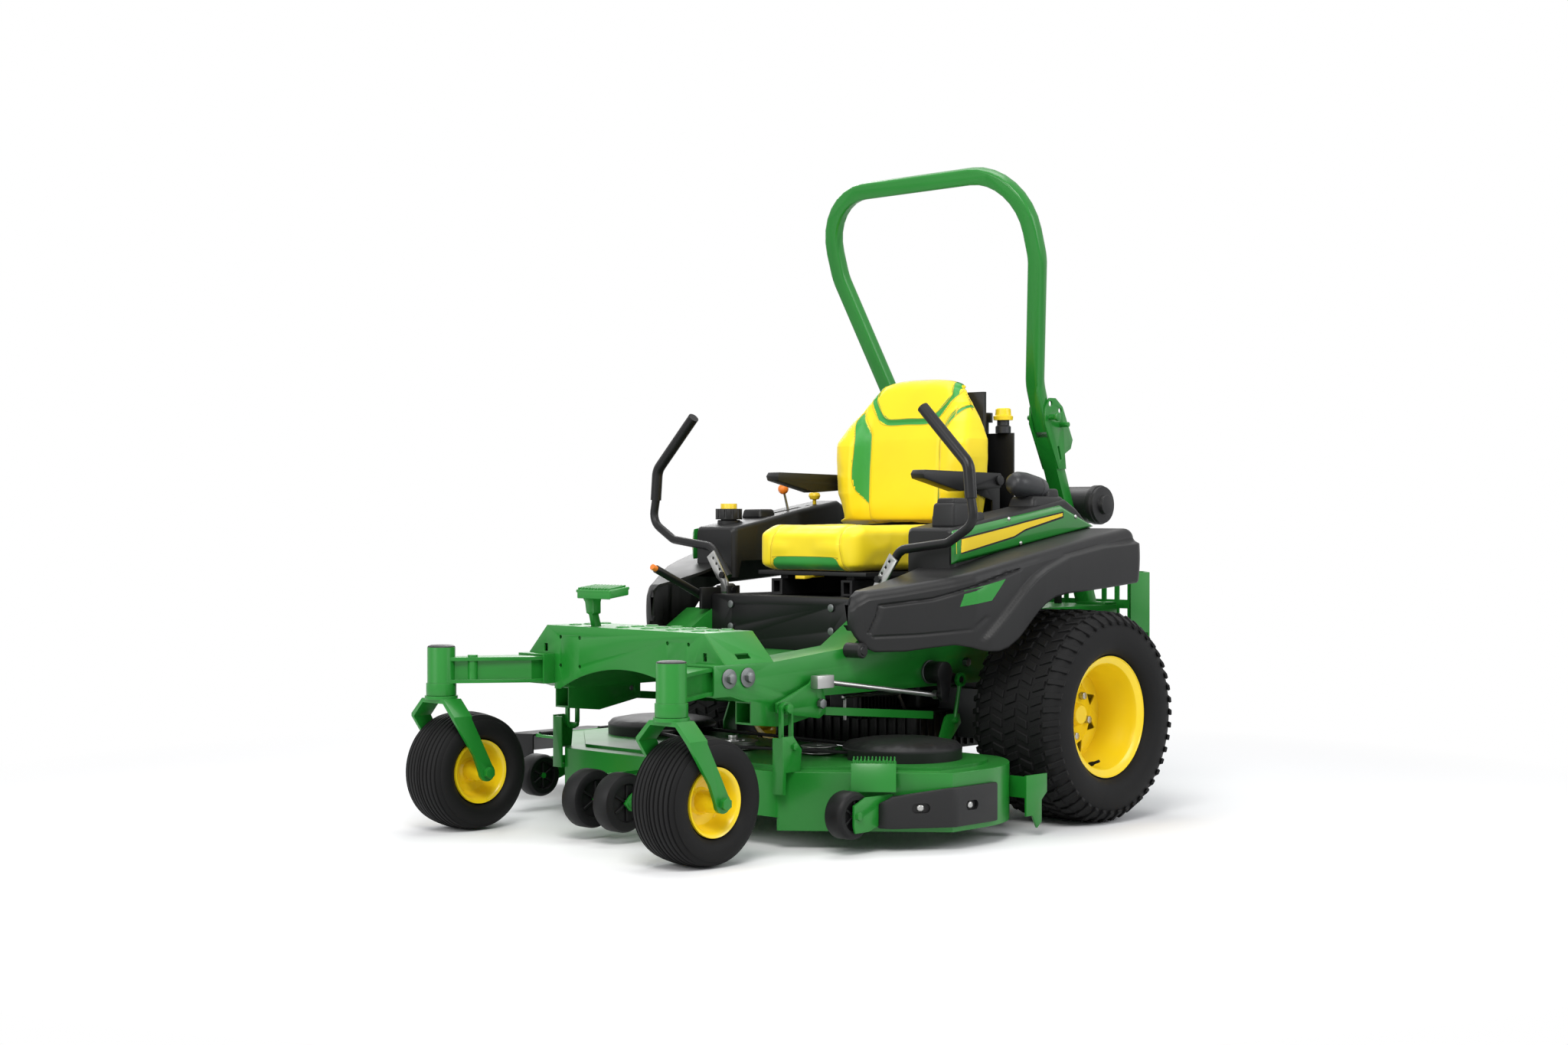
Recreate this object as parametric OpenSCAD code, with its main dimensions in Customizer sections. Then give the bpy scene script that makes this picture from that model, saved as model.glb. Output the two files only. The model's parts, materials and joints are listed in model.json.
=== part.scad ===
// Zero turn mower: a rear-engined ride-on mower with two drive wheels, two casters and a belly deck.
// Measured from the ground under the middle of the drive axle: +X is the mower's left, +Y its rear.

/* [Drive wheels] */
// Distance from the drive axle to the caster axles
wheelbase = 1343; // [1250:1:1700]
// Distance between the middles of the drive tyres
drive_track = 1296; // [1200:1:1600]
// Outer diameter of a drive tyre
drive_tyre_d = 610; // [500:1:640]
// Width of a drive tyre
drive_tyre_w = 306; // [240:1:330]
// Diameter of a drive rim over its flanges
drive_rim_d = 348; // [300:1:400]

/* [Casters] */
// Distance between the middles of the caster tyres
caster_track = 944; // [860:1:1130]
// Outer diameter of a caster tyre
caster_tyre_d = 330; // [270:1:336]
// Width of a caster tyre
caster_tyre_w = 168; // [130:1:200]
// Diameter of a caster rim over its flanges
caster_rim_d = 178; // [150:1:210]
// Distance that a caster wheel trails behind its swivel axis
caster_trail = 85; // [70:1:100]
// Outer diameter of the swivel tube
swivel_tube_d = 78; // [65:1:94]
// Diameter of the swivel stem
swivel_stem_d = 32; // [26:1:38]

/* [Frame] */
// Distance from the middle plane to a side rail's outer face
rail_half = 400; // [380:1:410]
// Width of a side rail's box section
rail_w = 112; // [93:1:134]
// Sheet thickness of the frame
plate_t = 5; // [4:0.5:6]
// Height of the box rail's top at the front
rail_top_z = 493; // [480:1:520]
// Height of the frame's top behind the kick panel
frame_top_z = 600; // [580:1:620]
// Height of the foot platform
foot_z = 573; // [560:1:600]
// Height of the floor pan
floor_z = 490; // [470:1:495]

/* [Hoop] */
// Height of the folding hoop's top
hoop_top_z = 1950; // [1650:1:2340]
// Width of the hoop's tube
hoop_tube_w = 51; // [43:1:60]
// Depth of the hoop's tube
hoop_tube_d = 40; // [34:1:48]
// Distance from the middle plane to the hoop's outermost face
hoop_half = 430; // [390:1:516]

/* [Seat] */
// Width of the seat cushion
seat_w = 500; // [420:1:520]
// Thickness of the seat cushion
seat_h = 140; // [117:1:168]
// Width of the backrest at its widest
back_w = 524; // [440:1:540]
// Height of the backrest's top
back_top_z = 1323; // [1200:1:1500]

/* [Levers] */
// Diameter of a steering lever's tube
lever_d = 26; // [22:1:31]
// Diameter of a steering lever's grip
grip_d = 34; // [31:1:41]

/* [Deck] */
// Distance of the outer spindles from the middle plane
spindle_x = 490; // [470:1:500]
// Length of a blade
blade_l = 516; // [430:1:519]
// Height of the deck's top plate
deck_top_z = 205; // [190:1:215]
// Width of the discharge chute beyond the deck
chute_w = 250; // [200:1:300]
// Diameter of a spindle's shaft
spindle_d = 25; // [21:1:30]

/* [Hidden] */
// Side that a shaft turns freely in: the gap all round it
run_gap = 0.05;
// Gap between pieces that only lie next to each other
gap = 0.3;
drive_r = drive_tyre_d / 2;
caster_r = caster_tyre_d / 2;
drive_x = drive_track / 2;
caster_x = caster_track / 2;
caster_y = -wheelbase;
pivot_y = caster_y - caster_trail;
// Stations along the frame, from the caster axle line rearward
rail_front_y = caster_y + 132;
plate_y = caster_y + 171;
foot_end_y = plate_y + 182;
floor_front_y = foot_end_y + 90;
kick_y = -556;
rail_rear_y = 560;
guard_y = 600;
rail_in = rail_half - rail_w;
rail_low_z = 392;
// Swivel tube
tube_top_z = 515;
tube_low_z = 381;
crown_top_z = 372;
// Deck
deck_out_y = -575;
deck_mid_y = deck_out_y - 174;
deck_r = 295;
deck_half = spindle_x + deck_r;
deck_front_y = deck_mid_y - blade_l / 2 - 8;
deck_rear_y = -303;
deck_raise = 8;
deck_wall = 5;
skirt_z = 50;
nose_skirt_z = 85;
blade_z = 92;
pulley_r = 72;
pulley_z = deck_top_z + 20;
cover_r = 166;
// Lift linkage
lift_y = -357;
lift_z = 434;
crank_y = -835;
crank_z = 374;
link_y = -985;
// Outermost faces, which set the origin under the middle of the whole machine
x_hi = drive_x + drive_tyre_w / 2;
x_lo = -(deck_half + 15 + chute_w);
y_lo = caster_y - caster_r;
mid_x = (x_hi + x_lo) / 2;
mid_y = (y_lo + guard_y) / 2;
$fn = 48;

green = [0.11, 0.48, 0.16];
black = [0.10, 0.10, 0.11];
yellow = [0.98, 0.85, 0.10];
steel = [0.72, 0.72, 0.72];
tyre_black = [0.07, 0.07, 0.07];
orange = [0.95, 0.50, 0.05];

// ---- shared shapes ----

// Moves a shape from the axle's frame to the machine's own frame
module at_axle() {
  translate([-mid_x, -mid_y, 0]) children();
}

module flip_x() {
  mirror([1, 0, 0]) children();
}

module both() {
  children();
  flip_x() children();
}

module slab(a, b) {
  translate(a) cube([b[0] - a[0], b[1] - a[1], b[2] - a[2]]);
}

// Round bar along X between two stations
module bar_x(r, x0, x1, y, z) {
  translate([x0, y, z]) rotate([0, 90, 0]) cylinder(r = r, h = x1 - x0);
}

module bar_y(r, y0, y1, x, z) {
  translate([x, y1, z]) rotate([90, 0, 0]) cylinder(r = r, h = y1 - y0);
}

module bar_z(r, z0, z1, x, y) {
  translate([x, y, z0]) cylinder(r = r, h = z1 - z0);
}

// A flat outline in (Y, Z), made thick from x0 to x1
module across_x(x0, x1) {
  translate([x0, 0, 0]) rotate([90, 0, 90]) linear_extrude(x1 - x0) children();
}

// A flat outline in (X, Z), made thick from y0 to y1
module across_y(y0, y1) {
  translate([0, y1, 0]) rotate([90, 0, 0]) linear_extrude(y1 - y0) children();
}

// A flat outline in (X, Y), made thick from z0 to z1
module across_z(z0, z1) {
  translate([0, 0, z0]) linear_extrude(z1 - z0) children();
}

// A turned shape whose outline is (radius, X)
module turned_x(x, y, z) {
  translate([x, y, z]) rotate([0, 90, 0]) rotate_extrude() children();
}

module turned_z(x, y, z) {
  translate([x, y, z]) rotate_extrude() children();
}

// Hexagon head across flats w, along X
module hex_x(w, x0, x1, y, z) {
  translate([x0, y, z]) rotate([0, 90, 0]) cylinder(r = w / sqrt(3), h = x1 - x0, $fn = 6);
}

module hex_y(w, y0, y1, x, z) {
  translate([x, y1, z]) rotate([90, 0, 0]) cylinder(r = w / sqrt(3), h = y1 - y0, $fn = 6);
}

function unit(v) = v / norm(v);
function turn(p, i) = let (a = unit(p[i] - p[i - 1]), b = unit(p[i + 1] - p[i]))
  atan2(a[0] * b[1] - a[1] * b[0], a[0] * b[0] + a[1] * b[1]);
function cut_back(p, i, r) = (i == 0 || i == len(p) - 1) ? 0 : r * tan(abs(turn(p, i)) / 2);

// The flat points p with each corner rounded to radius r in n steps
function rounded_path(p, r, n) = [for (i = [0 : len(p) - 1])
  if (i == 0 || i == len(p) - 1) p[i]
  else let (
    a = unit(p[i] - p[i - 1]),
    t = turn(p, i),
    begin = p[i] - a * cut_back(p, i, r),
    middle = begin + [-a[1], a[0]] * sign(t) * r,
    out = begin - middle)
    each [for (k = [0 : n]) let (w = t * k / n)
      middle + [out[0] * cos(w) - out[1] * sin(w), out[0] * sin(w) + out[1] * cos(w)]]];

function heading(q, i) = unit(unit(q[min(i + 1, len(q) - 1)] - q[min(i, len(q) - 2)])
  + unit(q[max(i, 1)] - q[max(i, 1) - 1]));

// A bent tube along the flat points p: section is a ring of (sideways, upward) points
module bent_tube(p, r, section, n = 8) {
  q = rounded_path(p, r, n);
  m = len(section);
  last = len(q) - 1;
  rings = [for (i = [0 : last]) let (h = heading(q, i))
    for (s = section) [q[i][0] - h[1] * s[0], q[i][1] + h[0] * s[0], s[1]]];
  sides = [for (i = [0 : last - 1], k = [0 : m - 1])
    each [[i * m + k, (i + 1) * m + k, i * m + (k + 1) % m],
      [i * m + (k + 1) % m, (i + 1) * m + k, (i + 1) * m + (k + 1) % m]]];
  polyhedron(rings, concat(sides, [[for (k = [0 : m - 1]) k]], [[for (k = [m - 1 : -1 : 0]) last * m + k]]));
}

function ring(r, m) = [for (k = [0 : m - 1]) [r * cos(k * 360 / m), r * sin(k * 360 / m)]];

// Ring of a w by h box section whose corners are rounded to radius c
function box_ring(w, h, c) = [for (k = [0 : 3], e = [0, 45, 90]) let (a = 45 + k * 90)
  [sign(cos(a)) * (w / 2 - c) + c * cos(k * 90 + e), sign(sin(a)) * (h / 2 - c) + c * sin(k * 90 + e)]];

// ---- frame ----

// Side outline of a box rail; d draws it in all round
module rail_outline(d = 0) {
  offset(delta = -d) polygon([[rail_front_y, rail_top_z - 83], [rail_front_y, rail_top_z],
    [foot_end_y, rail_top_z], [-690, 519], [kick_y, frame_top_z], [rail_rear_y, frame_top_z],
    [rail_rear_y, frame_top_z - 90], [240, frame_top_z - 90], [130, rail_low_z],
    [rail_front_y + 120, rail_low_z], [rail_front_y + 60, rail_top_z - 83]]);
}

module rail() {
  difference() {
    across_x(rail_in, rail_half) rail_outline();
    across_x(rail_in + plate_t, rail_half - plate_t) rail_outline(plate_t);
    slab([rail_in + plate_t, rail_front_y - 1, rail_top_z - 78],
         [rail_half - plate_t, rail_front_y + 12, rail_top_z - plate_t]);
    bar_x(20 + run_gap, rail_in - 1, rail_half + 1, lift_y, lift_z);
    for (y = [rail_front_y + 53, rail_front_y + 121])
      bar_x(9, rail_half - plate_t - 1, rail_half + 1, y, rail_top_z - 36);
  }
}

// Box beam from rail to rail
module cross_beam(y0, y1, z0, z1) {
  difference() {
    slab([-rail_in, y0, z0], [rail_in, y1, z1]);
    slab([-rail_in - 1, y0 + plate_t, z0 + plate_t], [rail_in + 1, y1 - plate_t, z1 - plate_t]);
  }
}

engine_y = 285;
engine_plate_t = 8;

module main_frame() at_axle() color(green) {
  difference() {
    union() {
      both() rail();
      cross_beam(plate_y + plate_t, plate_y + plate_t + 32, 465, 520);
      cross_beam(kick_y + 10, kick_y + 60, 420, 475);
      cross_beam(rail_rear_y - 50, rail_rear_y, frame_top_z - 90, frame_top_z);
      slab([-rail_in, 60, frame_top_z - engine_plate_t], [rail_in, rail_rear_y - 50, frame_top_z]);
      both() bracket_under_rail();
      pedal_mount();
    }
    bar_z(70, frame_top_z - 20, frame_top_z + 1, 0, engine_y);
  }
}

// Open box under the rail that carries the front crank's bolt
module bracket_under_rail() {
  difference() {
    across_x(rail_half - 60, rail_half) polygon([[-1075, rail_low_z], [-1075, 330], [-960, 318],
      [-800, 345], [-800, rail_low_z]]);
    across_x(rail_half - 55, rail_half - 5) polygon([[-1080, rail_low_z - 5], [-1080, 336], [-960, 324],
      [-900, 334], [-900, rail_low_z - 5]]);
    bar_x(8 + run_gap, rail_half - 61, rail_half + 1, crank_y, crank_z);
  }
}

hole_x = [180, 262];
hole_z = [461, 541];
hole_r = 5.5;

module front_plate() at_axle() color(green) {
  across_y(plate_y, plate_y + plate_t) difference() {
    polygon([[-rail_half, rail_top_z], [-rail_half + foot_z - rail_top_z, foot_z],
      [rail_half - foot_z + rail_top_z, foot_z], [rail_half, rail_top_z],
      [rail_in - gap, rail_top_z], [rail_in - gap, 395], [-rail_in + gap, 395], [-rail_in + gap, rail_top_z]]);
    translate([0, -104]) circle(r = 565, $fn = 96);
    for (s = [-1, 1], x = hole_x, z = hole_z)
      translate([s * x, z]) circle(r = hole_r);
    for (s = [-1, 1])
      translate([s * 325 - 7, 499]) square([14, 22]);
  }
}

pedal_x = -167;

module foot_deck() at_axle() color(green) {
  in_x = rail_half - (foot_z - rail_top_z);
  difference() {
    union() {
      across_y(plate_y + plate_t, foot_end_y) difference() {
        polygon([[-rail_half, rail_top_z], [-in_x, foot_z], [in_x, foot_z], [rail_half, rail_top_z]]);
        translate([0, -plate_t]) polygon([[-rail_half - 1, rail_top_z - 1], [-rail_half, rail_top_z - 1],
          [-in_x, foot_z], [in_x, foot_z], [rail_half, rail_top_z - 1],
          [rail_half - 9, rail_top_z + 5], [rail_half - 9, 400], [-rail_half + 9, 400],
          [-rail_half + 9, rail_top_z + 5]]);
      }
      across_x(-rail_in + gap, rail_in - gap) polygon([[foot_end_y, foot_z], [floor_front_y, floor_z],
        [kick_y, floor_z], [kick_y, floor_z - plate_t], [floor_front_y - 3, floor_z - plate_t],
        [foot_end_y - plate_t, foot_z - plate_t], [foot_end_y - plate_t, foot_z]]);
      for (x = [-250 : 100 : 250], y = [plate_y + 45, plate_y + 100, plate_y + 155])
        if (abs(x - pedal_x) > 60)
          turned_z(x, y, foot_z) polygon([[0, 0], [20, 0], [16, 4], [10, 4], [8, 1], [0, 1]]);
    }
    both() across_y(plate_y + 60, plate_y + 110) translate([rail_half - 28, 505]) square([22, 14]);
    slab([pedal_x - 11, plate_y + 8, foot_z - 20], [pedal_x + 11, plate_y + 84, foot_z + 10]);
  }
}

// Casting from the swivel tube into the open end of the box rail
module caster_arm() {
  block_x0 = rail_in + plate_t + gap;
  block_x1 = rail_half - plate_t - gap;
  arm_z0 = rail_top_z - 78;
  arm_z1 = rail_top_z - 6;
  difference() {
    union() {
      bar_z(swivel_tube_d / 2, tube_low_z, tube_top_z, caster_x, pivot_y);
      bar_z(swivel_tube_d / 2 + 3, tube_low_z, tube_low_z + 34, caster_x, pivot_y);
      across_z(arm_z0, arm_z0 + 10) arm_plan(block_x0, block_x1, 30);
      across_z(arm_z1 - 10, arm_z1) arm_plan(block_x0, block_x1, 30);
      across_z(arm_z0 + 10, arm_z1 - 10) arm_plan(block_x0 + 12, block_x1 - 12, 10);
      slab([block_x0, rail_front_y + 10, arm_z0], [block_x1, rail_front_y + 150, arm_z1]);
      bar_z(14, arm_z0, arm_z1 + 6, caster_x - 62, pivot_y + 62);
    }
    bar_z(swivel_stem_d / 2 + run_gap, tube_low_z - 1, tube_top_z - 10, caster_x, pivot_y);
    for (y = [rail_front_y + 53, rail_front_y + 121])
      bar_x(8, block_x0 + 20, block_x1 + 1, y, rail_top_z - 36);
  }
}

module arm_plan(x0, x1, half) {
  k = half * 0.707;
  polygon([[caster_x + k, pivot_y + k], [caster_x - k, pivot_y - k], [x0, rail_front_y - 30],
    [x0, rail_front_y + 40], [x1, rail_front_y + 40], [x1, rail_front_y - 32 + half * 0.7]]);
}

module caster_arms() at_axle() color(green) {
  both() caster_arm();
}

module kick_panel() at_axle() color(black) {
  across_y(kick_y, kick_y + 4) difference() {
    translate([-rail_in + gap, floor_z]) square([2 * (rail_in - gap), 645 - floor_z]);
    for (s = [-1, 1], z = [550, 617])
      translate([s * 205, z]) circle(r = 5 + run_gap);
  }
}

module frame_bolts() at_axle() color(steel) {
  both() {
    for (y = [rail_front_y + 53, rail_front_y + 121]) {
      bar_x(26, rail_half, rail_half + 4, y, rail_top_z - 36);
      bar_x(7.9, rail_half - 60, rail_half, y, rail_top_z - 36);
      hex_x(24, rail_half + 4, rail_half + 18, y, rail_top_z - 36);
    }
    for (z = [550, 617])
      translate([205, kick_y, z]) {
        rotate([90, 0, 0]) cylinder(r = 11, h = 5);
        rotate([-90, 0, 0]) cylinder(r = 5, h = 20);
      }
    hex_x(22, rail_half + 0.01, rail_half + 15, -195, 454);
    bar_x(8, rail_half - 60, rail_half + 32, crank_y, crank_z);
    hex_x(24, rail_half + 23, rail_half + 36, crank_y, crank_z);
    difference() {
      bar_x(34, rail_half, rail_half + 8, lift_y, lift_z);
      bar_x(20 + run_gap, rail_half - 1, rail_half + 9, lift_y, lift_z);
    }
  }
}

// ---- wheels ----

// Section of a tyre: (radius, X) from bead to tread
module tyre_section(r, w, rim_r, flange_r, bead) {
  h = r - rim_r;
  polygon([[rim_r, -bead], [flange_r, -bead], [flange_r + 8, -w / 2 + 6], [rim_r + 0.45 * h, -w / 2],
    [rim_r + 0.68 * h, -w / 2 + 3], [r - 0.12 * h, -w * 0.43], [r - 0.03 * h, -w * 0.36], [r, -w * 0.2],
    [r, w * 0.2], [r - 0.03 * h, w * 0.36], [r - 0.12 * h, w * 0.43], [rim_r + 0.68 * h, w / 2 - 3],
    [rim_r + 0.45 * h, w / 2], [flange_r + 8, w / 2 - 6], [flange_r, bead], [rim_r, bead]]);
}

drive_flange_r = drive_rim_d / 2;
drive_seat_r = drive_flange_r - 22;
drive_lip = drive_tyre_w / 2 - 30;
disc_x = -12;
axle_r = 22;
caster_flange_r = caster_rim_d / 2;
caster_seat_r = caster_flange_r - 13;
caster_lip = caster_tyre_w / 2 - 15;
caster_axle_r = 10;
fork_in = caster_tyre_w / 2 + 4;
fork_t = 11;

module drive_tyre() {
  turned_x(drive_x, 0, drive_r)
    tyre_section(drive_r, drive_tyre_w, drive_seat_r + gap, drive_flange_r + 2, drive_lip - 4 - gap);
}

module drive_rim() {
  translate([drive_x, 0, drive_r]) {
    difference() {
      union() {
        turned_x(0, 0, 0) polygon([[drive_seat_r, -drive_lip + 4], [drive_flange_r, -drive_lip + 4],
          [drive_flange_r, -drive_lip], [drive_seat_r - 4, -drive_lip], [drive_seat_r - 4, drive_lip],
          [drive_flange_r, drive_lip], [drive_flange_r, drive_lip - 4], [drive_seat_r, drive_lip - 4]]);
        bar_x(drive_seat_r - 2, disc_x, disc_x + 8, 0, 0);
        bar_x(88, disc_x + 8, disc_x + 14, 0, 0);
      }
      bar_x(34, disc_x - 1, disc_x + 15, 0, 0);
      for (i = [0 : 7])
        rotate([i * 45, 0, 0]) translate([disc_x - 1, 0, 118]) rotate([0, 90, 0])
          cylinder(r = 19, h = 10, $fn = 3);
    }
    bar_x(74, disc_x - 14, disc_x, 0, 0);
    bar_x(axle_r, rail_half - 15 - drive_x, disc_x - 14, 0, 0);
    bar_x(33, disc_x, disc_x + 34, 0, 0);
    for (i = [0 : 4])
      rotate([i * 72 + 36, 0, 0]) hex_x(19, disc_x + 14, disc_x + 32, 0, 63.5);
  }
}

module drive_tyre_left() at_axle() color(tyre_black) drive_tyre();
module drive_tyre_right() at_axle() color(tyre_black) flip_x() drive_tyre();
module drive_rim_left() at_axle() color(yellow) drive_rim();
module drive_rim_right() at_axle() color(yellow) flip_x() drive_rim();

module caster_tyre() {
  turned_x(caster_x, caster_y, caster_r)
    tyre_section(caster_r, caster_tyre_w, caster_seat_r + gap, caster_flange_r + 2, caster_lip - 4 - gap);
}

module caster_rim() {
  hub_half = caster_tyre_w / 2 + 3;
  turned_x(caster_x, caster_y, caster_r) polygon([[caster_axle_r + run_gap, -hub_half], [26, -hub_half],
    [26, -3], [caster_seat_r - 4, -3], [caster_seat_r - 4, -caster_lip], [caster_flange_r, -caster_lip],
    [caster_flange_r, -caster_lip + 4], [caster_seat_r, -caster_lip + 4], [caster_seat_r, caster_lip - 4],
    [caster_flange_r, caster_lip - 4], [caster_flange_r, caster_lip], [caster_seat_r - 4, caster_lip],
    [caster_seat_r - 4, 3], [26, 3], [26, hub_half], [caster_axle_r + run_gap, hub_half]]);
}

module caster_tyre_left() at_axle() color(tyre_black) caster_tyre();
module caster_tyre_right() at_axle() color(tyre_black) flip_x() caster_tyre();
module caster_rim_left() at_axle() color(yellow) caster_rim();
module caster_rim_right() at_axle() color(yellow) flip_x() caster_rim();

// Fork with its stem and the axle bolt through both arms
module caster_fork() {
  out = fork_in + fork_t;
  shoulder_z = crown_top_z - 54;
  translate([caster_x, 0, 0]) {
    difference() {
      union() {
        across_y(pivot_y - 30, pivot_y + 30) polygon([[-out, shoulder_z], [-out, shoulder_z + 8],
          [-50, crown_top_z], [50, crown_top_z], [out, shoulder_z + 8], [out, shoulder_z],
          [fork_in, shoulder_z], [46, crown_top_z - 12], [-46, crown_top_z - 12], [-fork_in, shoulder_z]]);
        both() across_x(fork_in, out) {
          polygon([[pivot_y - 30, shoulder_z], [pivot_y + 30, shoulder_z], [caster_y - 2, caster_r + 55],
            [caster_y + 22, caster_r + 8], [caster_y - 22, caster_r - 8], [caster_y - 46, caster_r + 50]]);
          translate([caster_y, caster_r]) circle(r = 25);
        }
        bar_z(46, crown_top_z - 2, tube_low_z - 1, 0, pivot_y);
      }
      bar_x(caster_axle_r, -out - 1, out + 1, caster_y, caster_r);
    }
    bar_z(swivel_stem_d / 2, tube_low_z - 1, tube_top_z - 14, 0, pivot_y);
    bar_x(caster_axle_r, -out - 1, out + 1, caster_y, caster_r);
    both() hex_x(28, out + gap, out + 15, caster_y, caster_r);
  }
}

module caster_fork_left() at_axle() color(green) caster_fork();
module caster_fork_right() at_axle() color(green) flip_x() caster_fork();

// ---- hoop ----

hinge_y = 302;
hinge_z = 1187;
hoop_lean = 18.3;
post_lean = 21.8;
post_x = 300;
top_bend = 188;
hoop_mid_x = hoop_half - hoop_tube_w / 2;
hoop_rise = (hoop_top_z - hinge_z) / cos(hoop_lean) - hoop_tube_d / 2 * tan(hoop_lean) - hoop_tube_w / 2;

// Shape drawn flat in (X, up the hoop), stood on the hinge line and leant forward
module on_hoop_plane() {
  translate([0, hinge_y, hinge_z]) rotate([90 + hoop_lean, 0, 0]) children();
}

module rops_hoop() at_axle() color(green) {
  difference() {
    on_hoop_plane() bent_tube([[-post_x, -42], [-post_x, 110], [-hoop_mid_x, 500], [-hoop_mid_x, hoop_rise],
      [hoop_mid_x, hoop_rise], [hoop_mid_x, 500], [post_x, 110], [post_x, -42]], top_bend,
      box_ring(hoop_tube_w, hoop_tube_d, 8));
    both() bar_x(9 + run_gap, post_x - 40, post_x + 40, hinge_y, hinge_z);
  }
}

module rops_post() {
  t = plate_t + 1;
  difference() {
    union() {
      translate([post_x, hinge_y, hinge_z]) rotate([post_lean, 0, 0])
        difference() {
          translate([-hoop_tube_w / 2, -hoop_tube_d / 2, -700])
            cube([hoop_tube_w, hoop_tube_d, 700 - 62]);
          translate([-hoop_tube_w / 2 + t, -hoop_tube_d / 2 + t, -701])
            cube([hoop_tube_w - 2 * t, hoop_tube_d - 2 * t, 700 - 62 - 60]);
        }
      for (x = [post_x - hoop_tube_w / 2 - gap - t, post_x + hoop_tube_w / 2 + gap])
        across_x(x, x + t) hinge_plate();
      for (x = [post_x - hoop_tube_w / 2 - gap - 0.2, post_x + hoop_tube_w / 2 - 0.1])
        translate([0, hinge_y, hinge_z]) rotate([post_lean, 0, 0])
          translate([x, -hoop_tube_d / 2, -170]) cube([gap + 0.3, hoop_tube_d, 90]);
    }
    translate([-500, 0, frame_top_z - 300]) cube([1000, 1000, 300]);
    bar_x(9, post_x - 60, post_x + 60, hinge_y, hinge_z);
    bar_x(8, post_x + 25, post_x + 60, hinge_y + 58, hinge_z - 22);
    bar_x(8, post_x + 25, post_x + 60, hinge_y + 52, hinge_z + 22);
    bar_x(9, post_x + 25, post_x + 60, hinge_y + 4, hinge_z + 42);
  }
  slab([rail_in, rail_rear_y - 60, frame_top_z], [rail_half - 2, rail_rear_y, frame_top_z + 8]);
  bar_x(9, post_x - 50, post_x + 56, hinge_y, hinge_z);
  hex_x(22, post_x + 56, post_x + 66, hinge_y, hinge_z);
  bar_x(7.9, post_x + hoop_tube_w / 2 + gap, post_x + 60, hinge_y + 58, hinge_z - 22);
}

// Side outline of the plate that carries the hoop's hinge
module hinge_plate() {
  difference() {
    polygon([[hinge_y - 24, hinge_z - 20], [hinge_y - 22, hinge_z + 30], [hinge_y, hinge_z + 60],
      [hinge_y + 30, hinge_z + 60], [hinge_y + 66, hinge_z + 34], [hinge_y + 118, hinge_z - 68],
      [hinge_y + 108, hinge_z - 96], [hinge_y + 78, hinge_z - 112], [hinge_y + 84, hinge_z - 160],
      [hinge_y + 46, hinge_z - 160]]);
    translate([hinge_y + 50, hinge_z - 110]) rotate(18) square([9, 44], center = true);
  }
}

module rops_posts() at_axle() color(green) both() rops_post();

// ---- seat and its platform ----

module seat_base() at_axle() color(black) {
  platform_z = 640;
  difference() {
    slab([-rail_in + gap, kick_y + 5, platform_z], [rail_in - gap, 60, platform_z + 5]);
    slab([-120, -460, platform_z - 1], [120, -60, platform_z + 6]);
  }
  both() {
    slab([rail_in - 12, kick_y + 5, frame_top_z], [rail_in - gap, 60, platform_z]);
    difference() {
      union() {
        slab([rail_in + 2, lever_y - 44, frame_top_z], [rail_in + 52, lever_y + 44, frame_top_z + 6]);
        for (x = [rail_in + 2, rail_in + 46])
          slab([x, lever_y - 26, frame_top_z + 5], [x + 6, lever_y + 26, lever_z + 13]);
      }
      bar_x(10, rail_in, rail_in + 60, lever_y, lever_z);
    }
    bar_x(10, rail_in, rail_in + 56, lever_y, lever_z);
    difference() {
      slab([-165, -425, platform_z + 5], [-121, -55, seat_low_z - 24]);
      slab([-155, -426, platform_z + 12], [-131, -54, seat_low_z - 31]);
    }
  }
  slab([-302, kick_y - 40, frame_top_z + gap], [-rail_in - 2, kick_y + 40, 665]);
  bar_x(11, -326, -302, kick_y, 632);
}

seat_low_z = 716;
cushion_y0 = -466;
cushion_y1 = -8;

module seat_cushion() at_axle() color(yellow) {
  r = 42;
  hull() {
    for (s = [-1, 1]) {
      translate([s * (seat_w / 2 - r), cushion_y1 - r, seat_low_z + 8]) cylinder(r = r, h = seat_h - 22, $fn = 32);
      translate([s * (seat_w / 2 - r - 36), cushion_y0 + r, seat_low_z + 8]) cylinder(r = r, h = seat_h - 22, $fn = 32);
      translate([s * (seat_w / 2 - 70), -90, seat_low_z]) cylinder(r = 40, h = seat_h, $fn = 32);
      translate([s * (seat_w / 2 - 110), cushion_y0 + 80, seat_low_z]) cylinder(r = 50, h = seat_h, $fn = 32);
    }
  }
}

back_low_z = seat_low_z + seat_h + gap;

module seat_back() at_axle() color(yellow) {
  mid_z = back_low_z + 150;
  hull()
    for (s = [-1, 1]) {
      translate([s * (back_w / 2 - 62), -20, back_low_z]) cylinder(r = 14, h = 20, $fn = 32);
      translate([s * (back_w / 2 - 62), 72, back_low_z]) cylinder(r = 26, h = 20, $fn = 32);
      translate([s * (back_w / 2 - 26), 8, mid_z - 60]) cylinder(r = 26, h = 170, $fn = 32);
      translate([s * (back_w / 2 - 26), 78, mid_z - 60]) cylinder(r = 26, h = 170, $fn = 32);
      translate([s * (back_w / 2 - 112), 78, back_top_z - 90]) cylinder(r = 36, h = 70, $fn = 32);
      translate([s * (back_w / 2 - 132), 88, back_top_z - 30]) cylinder(r = 24, h = 30, $fn = 32);
    }
}

arm_y = 62;
arm_z = 988;

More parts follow.
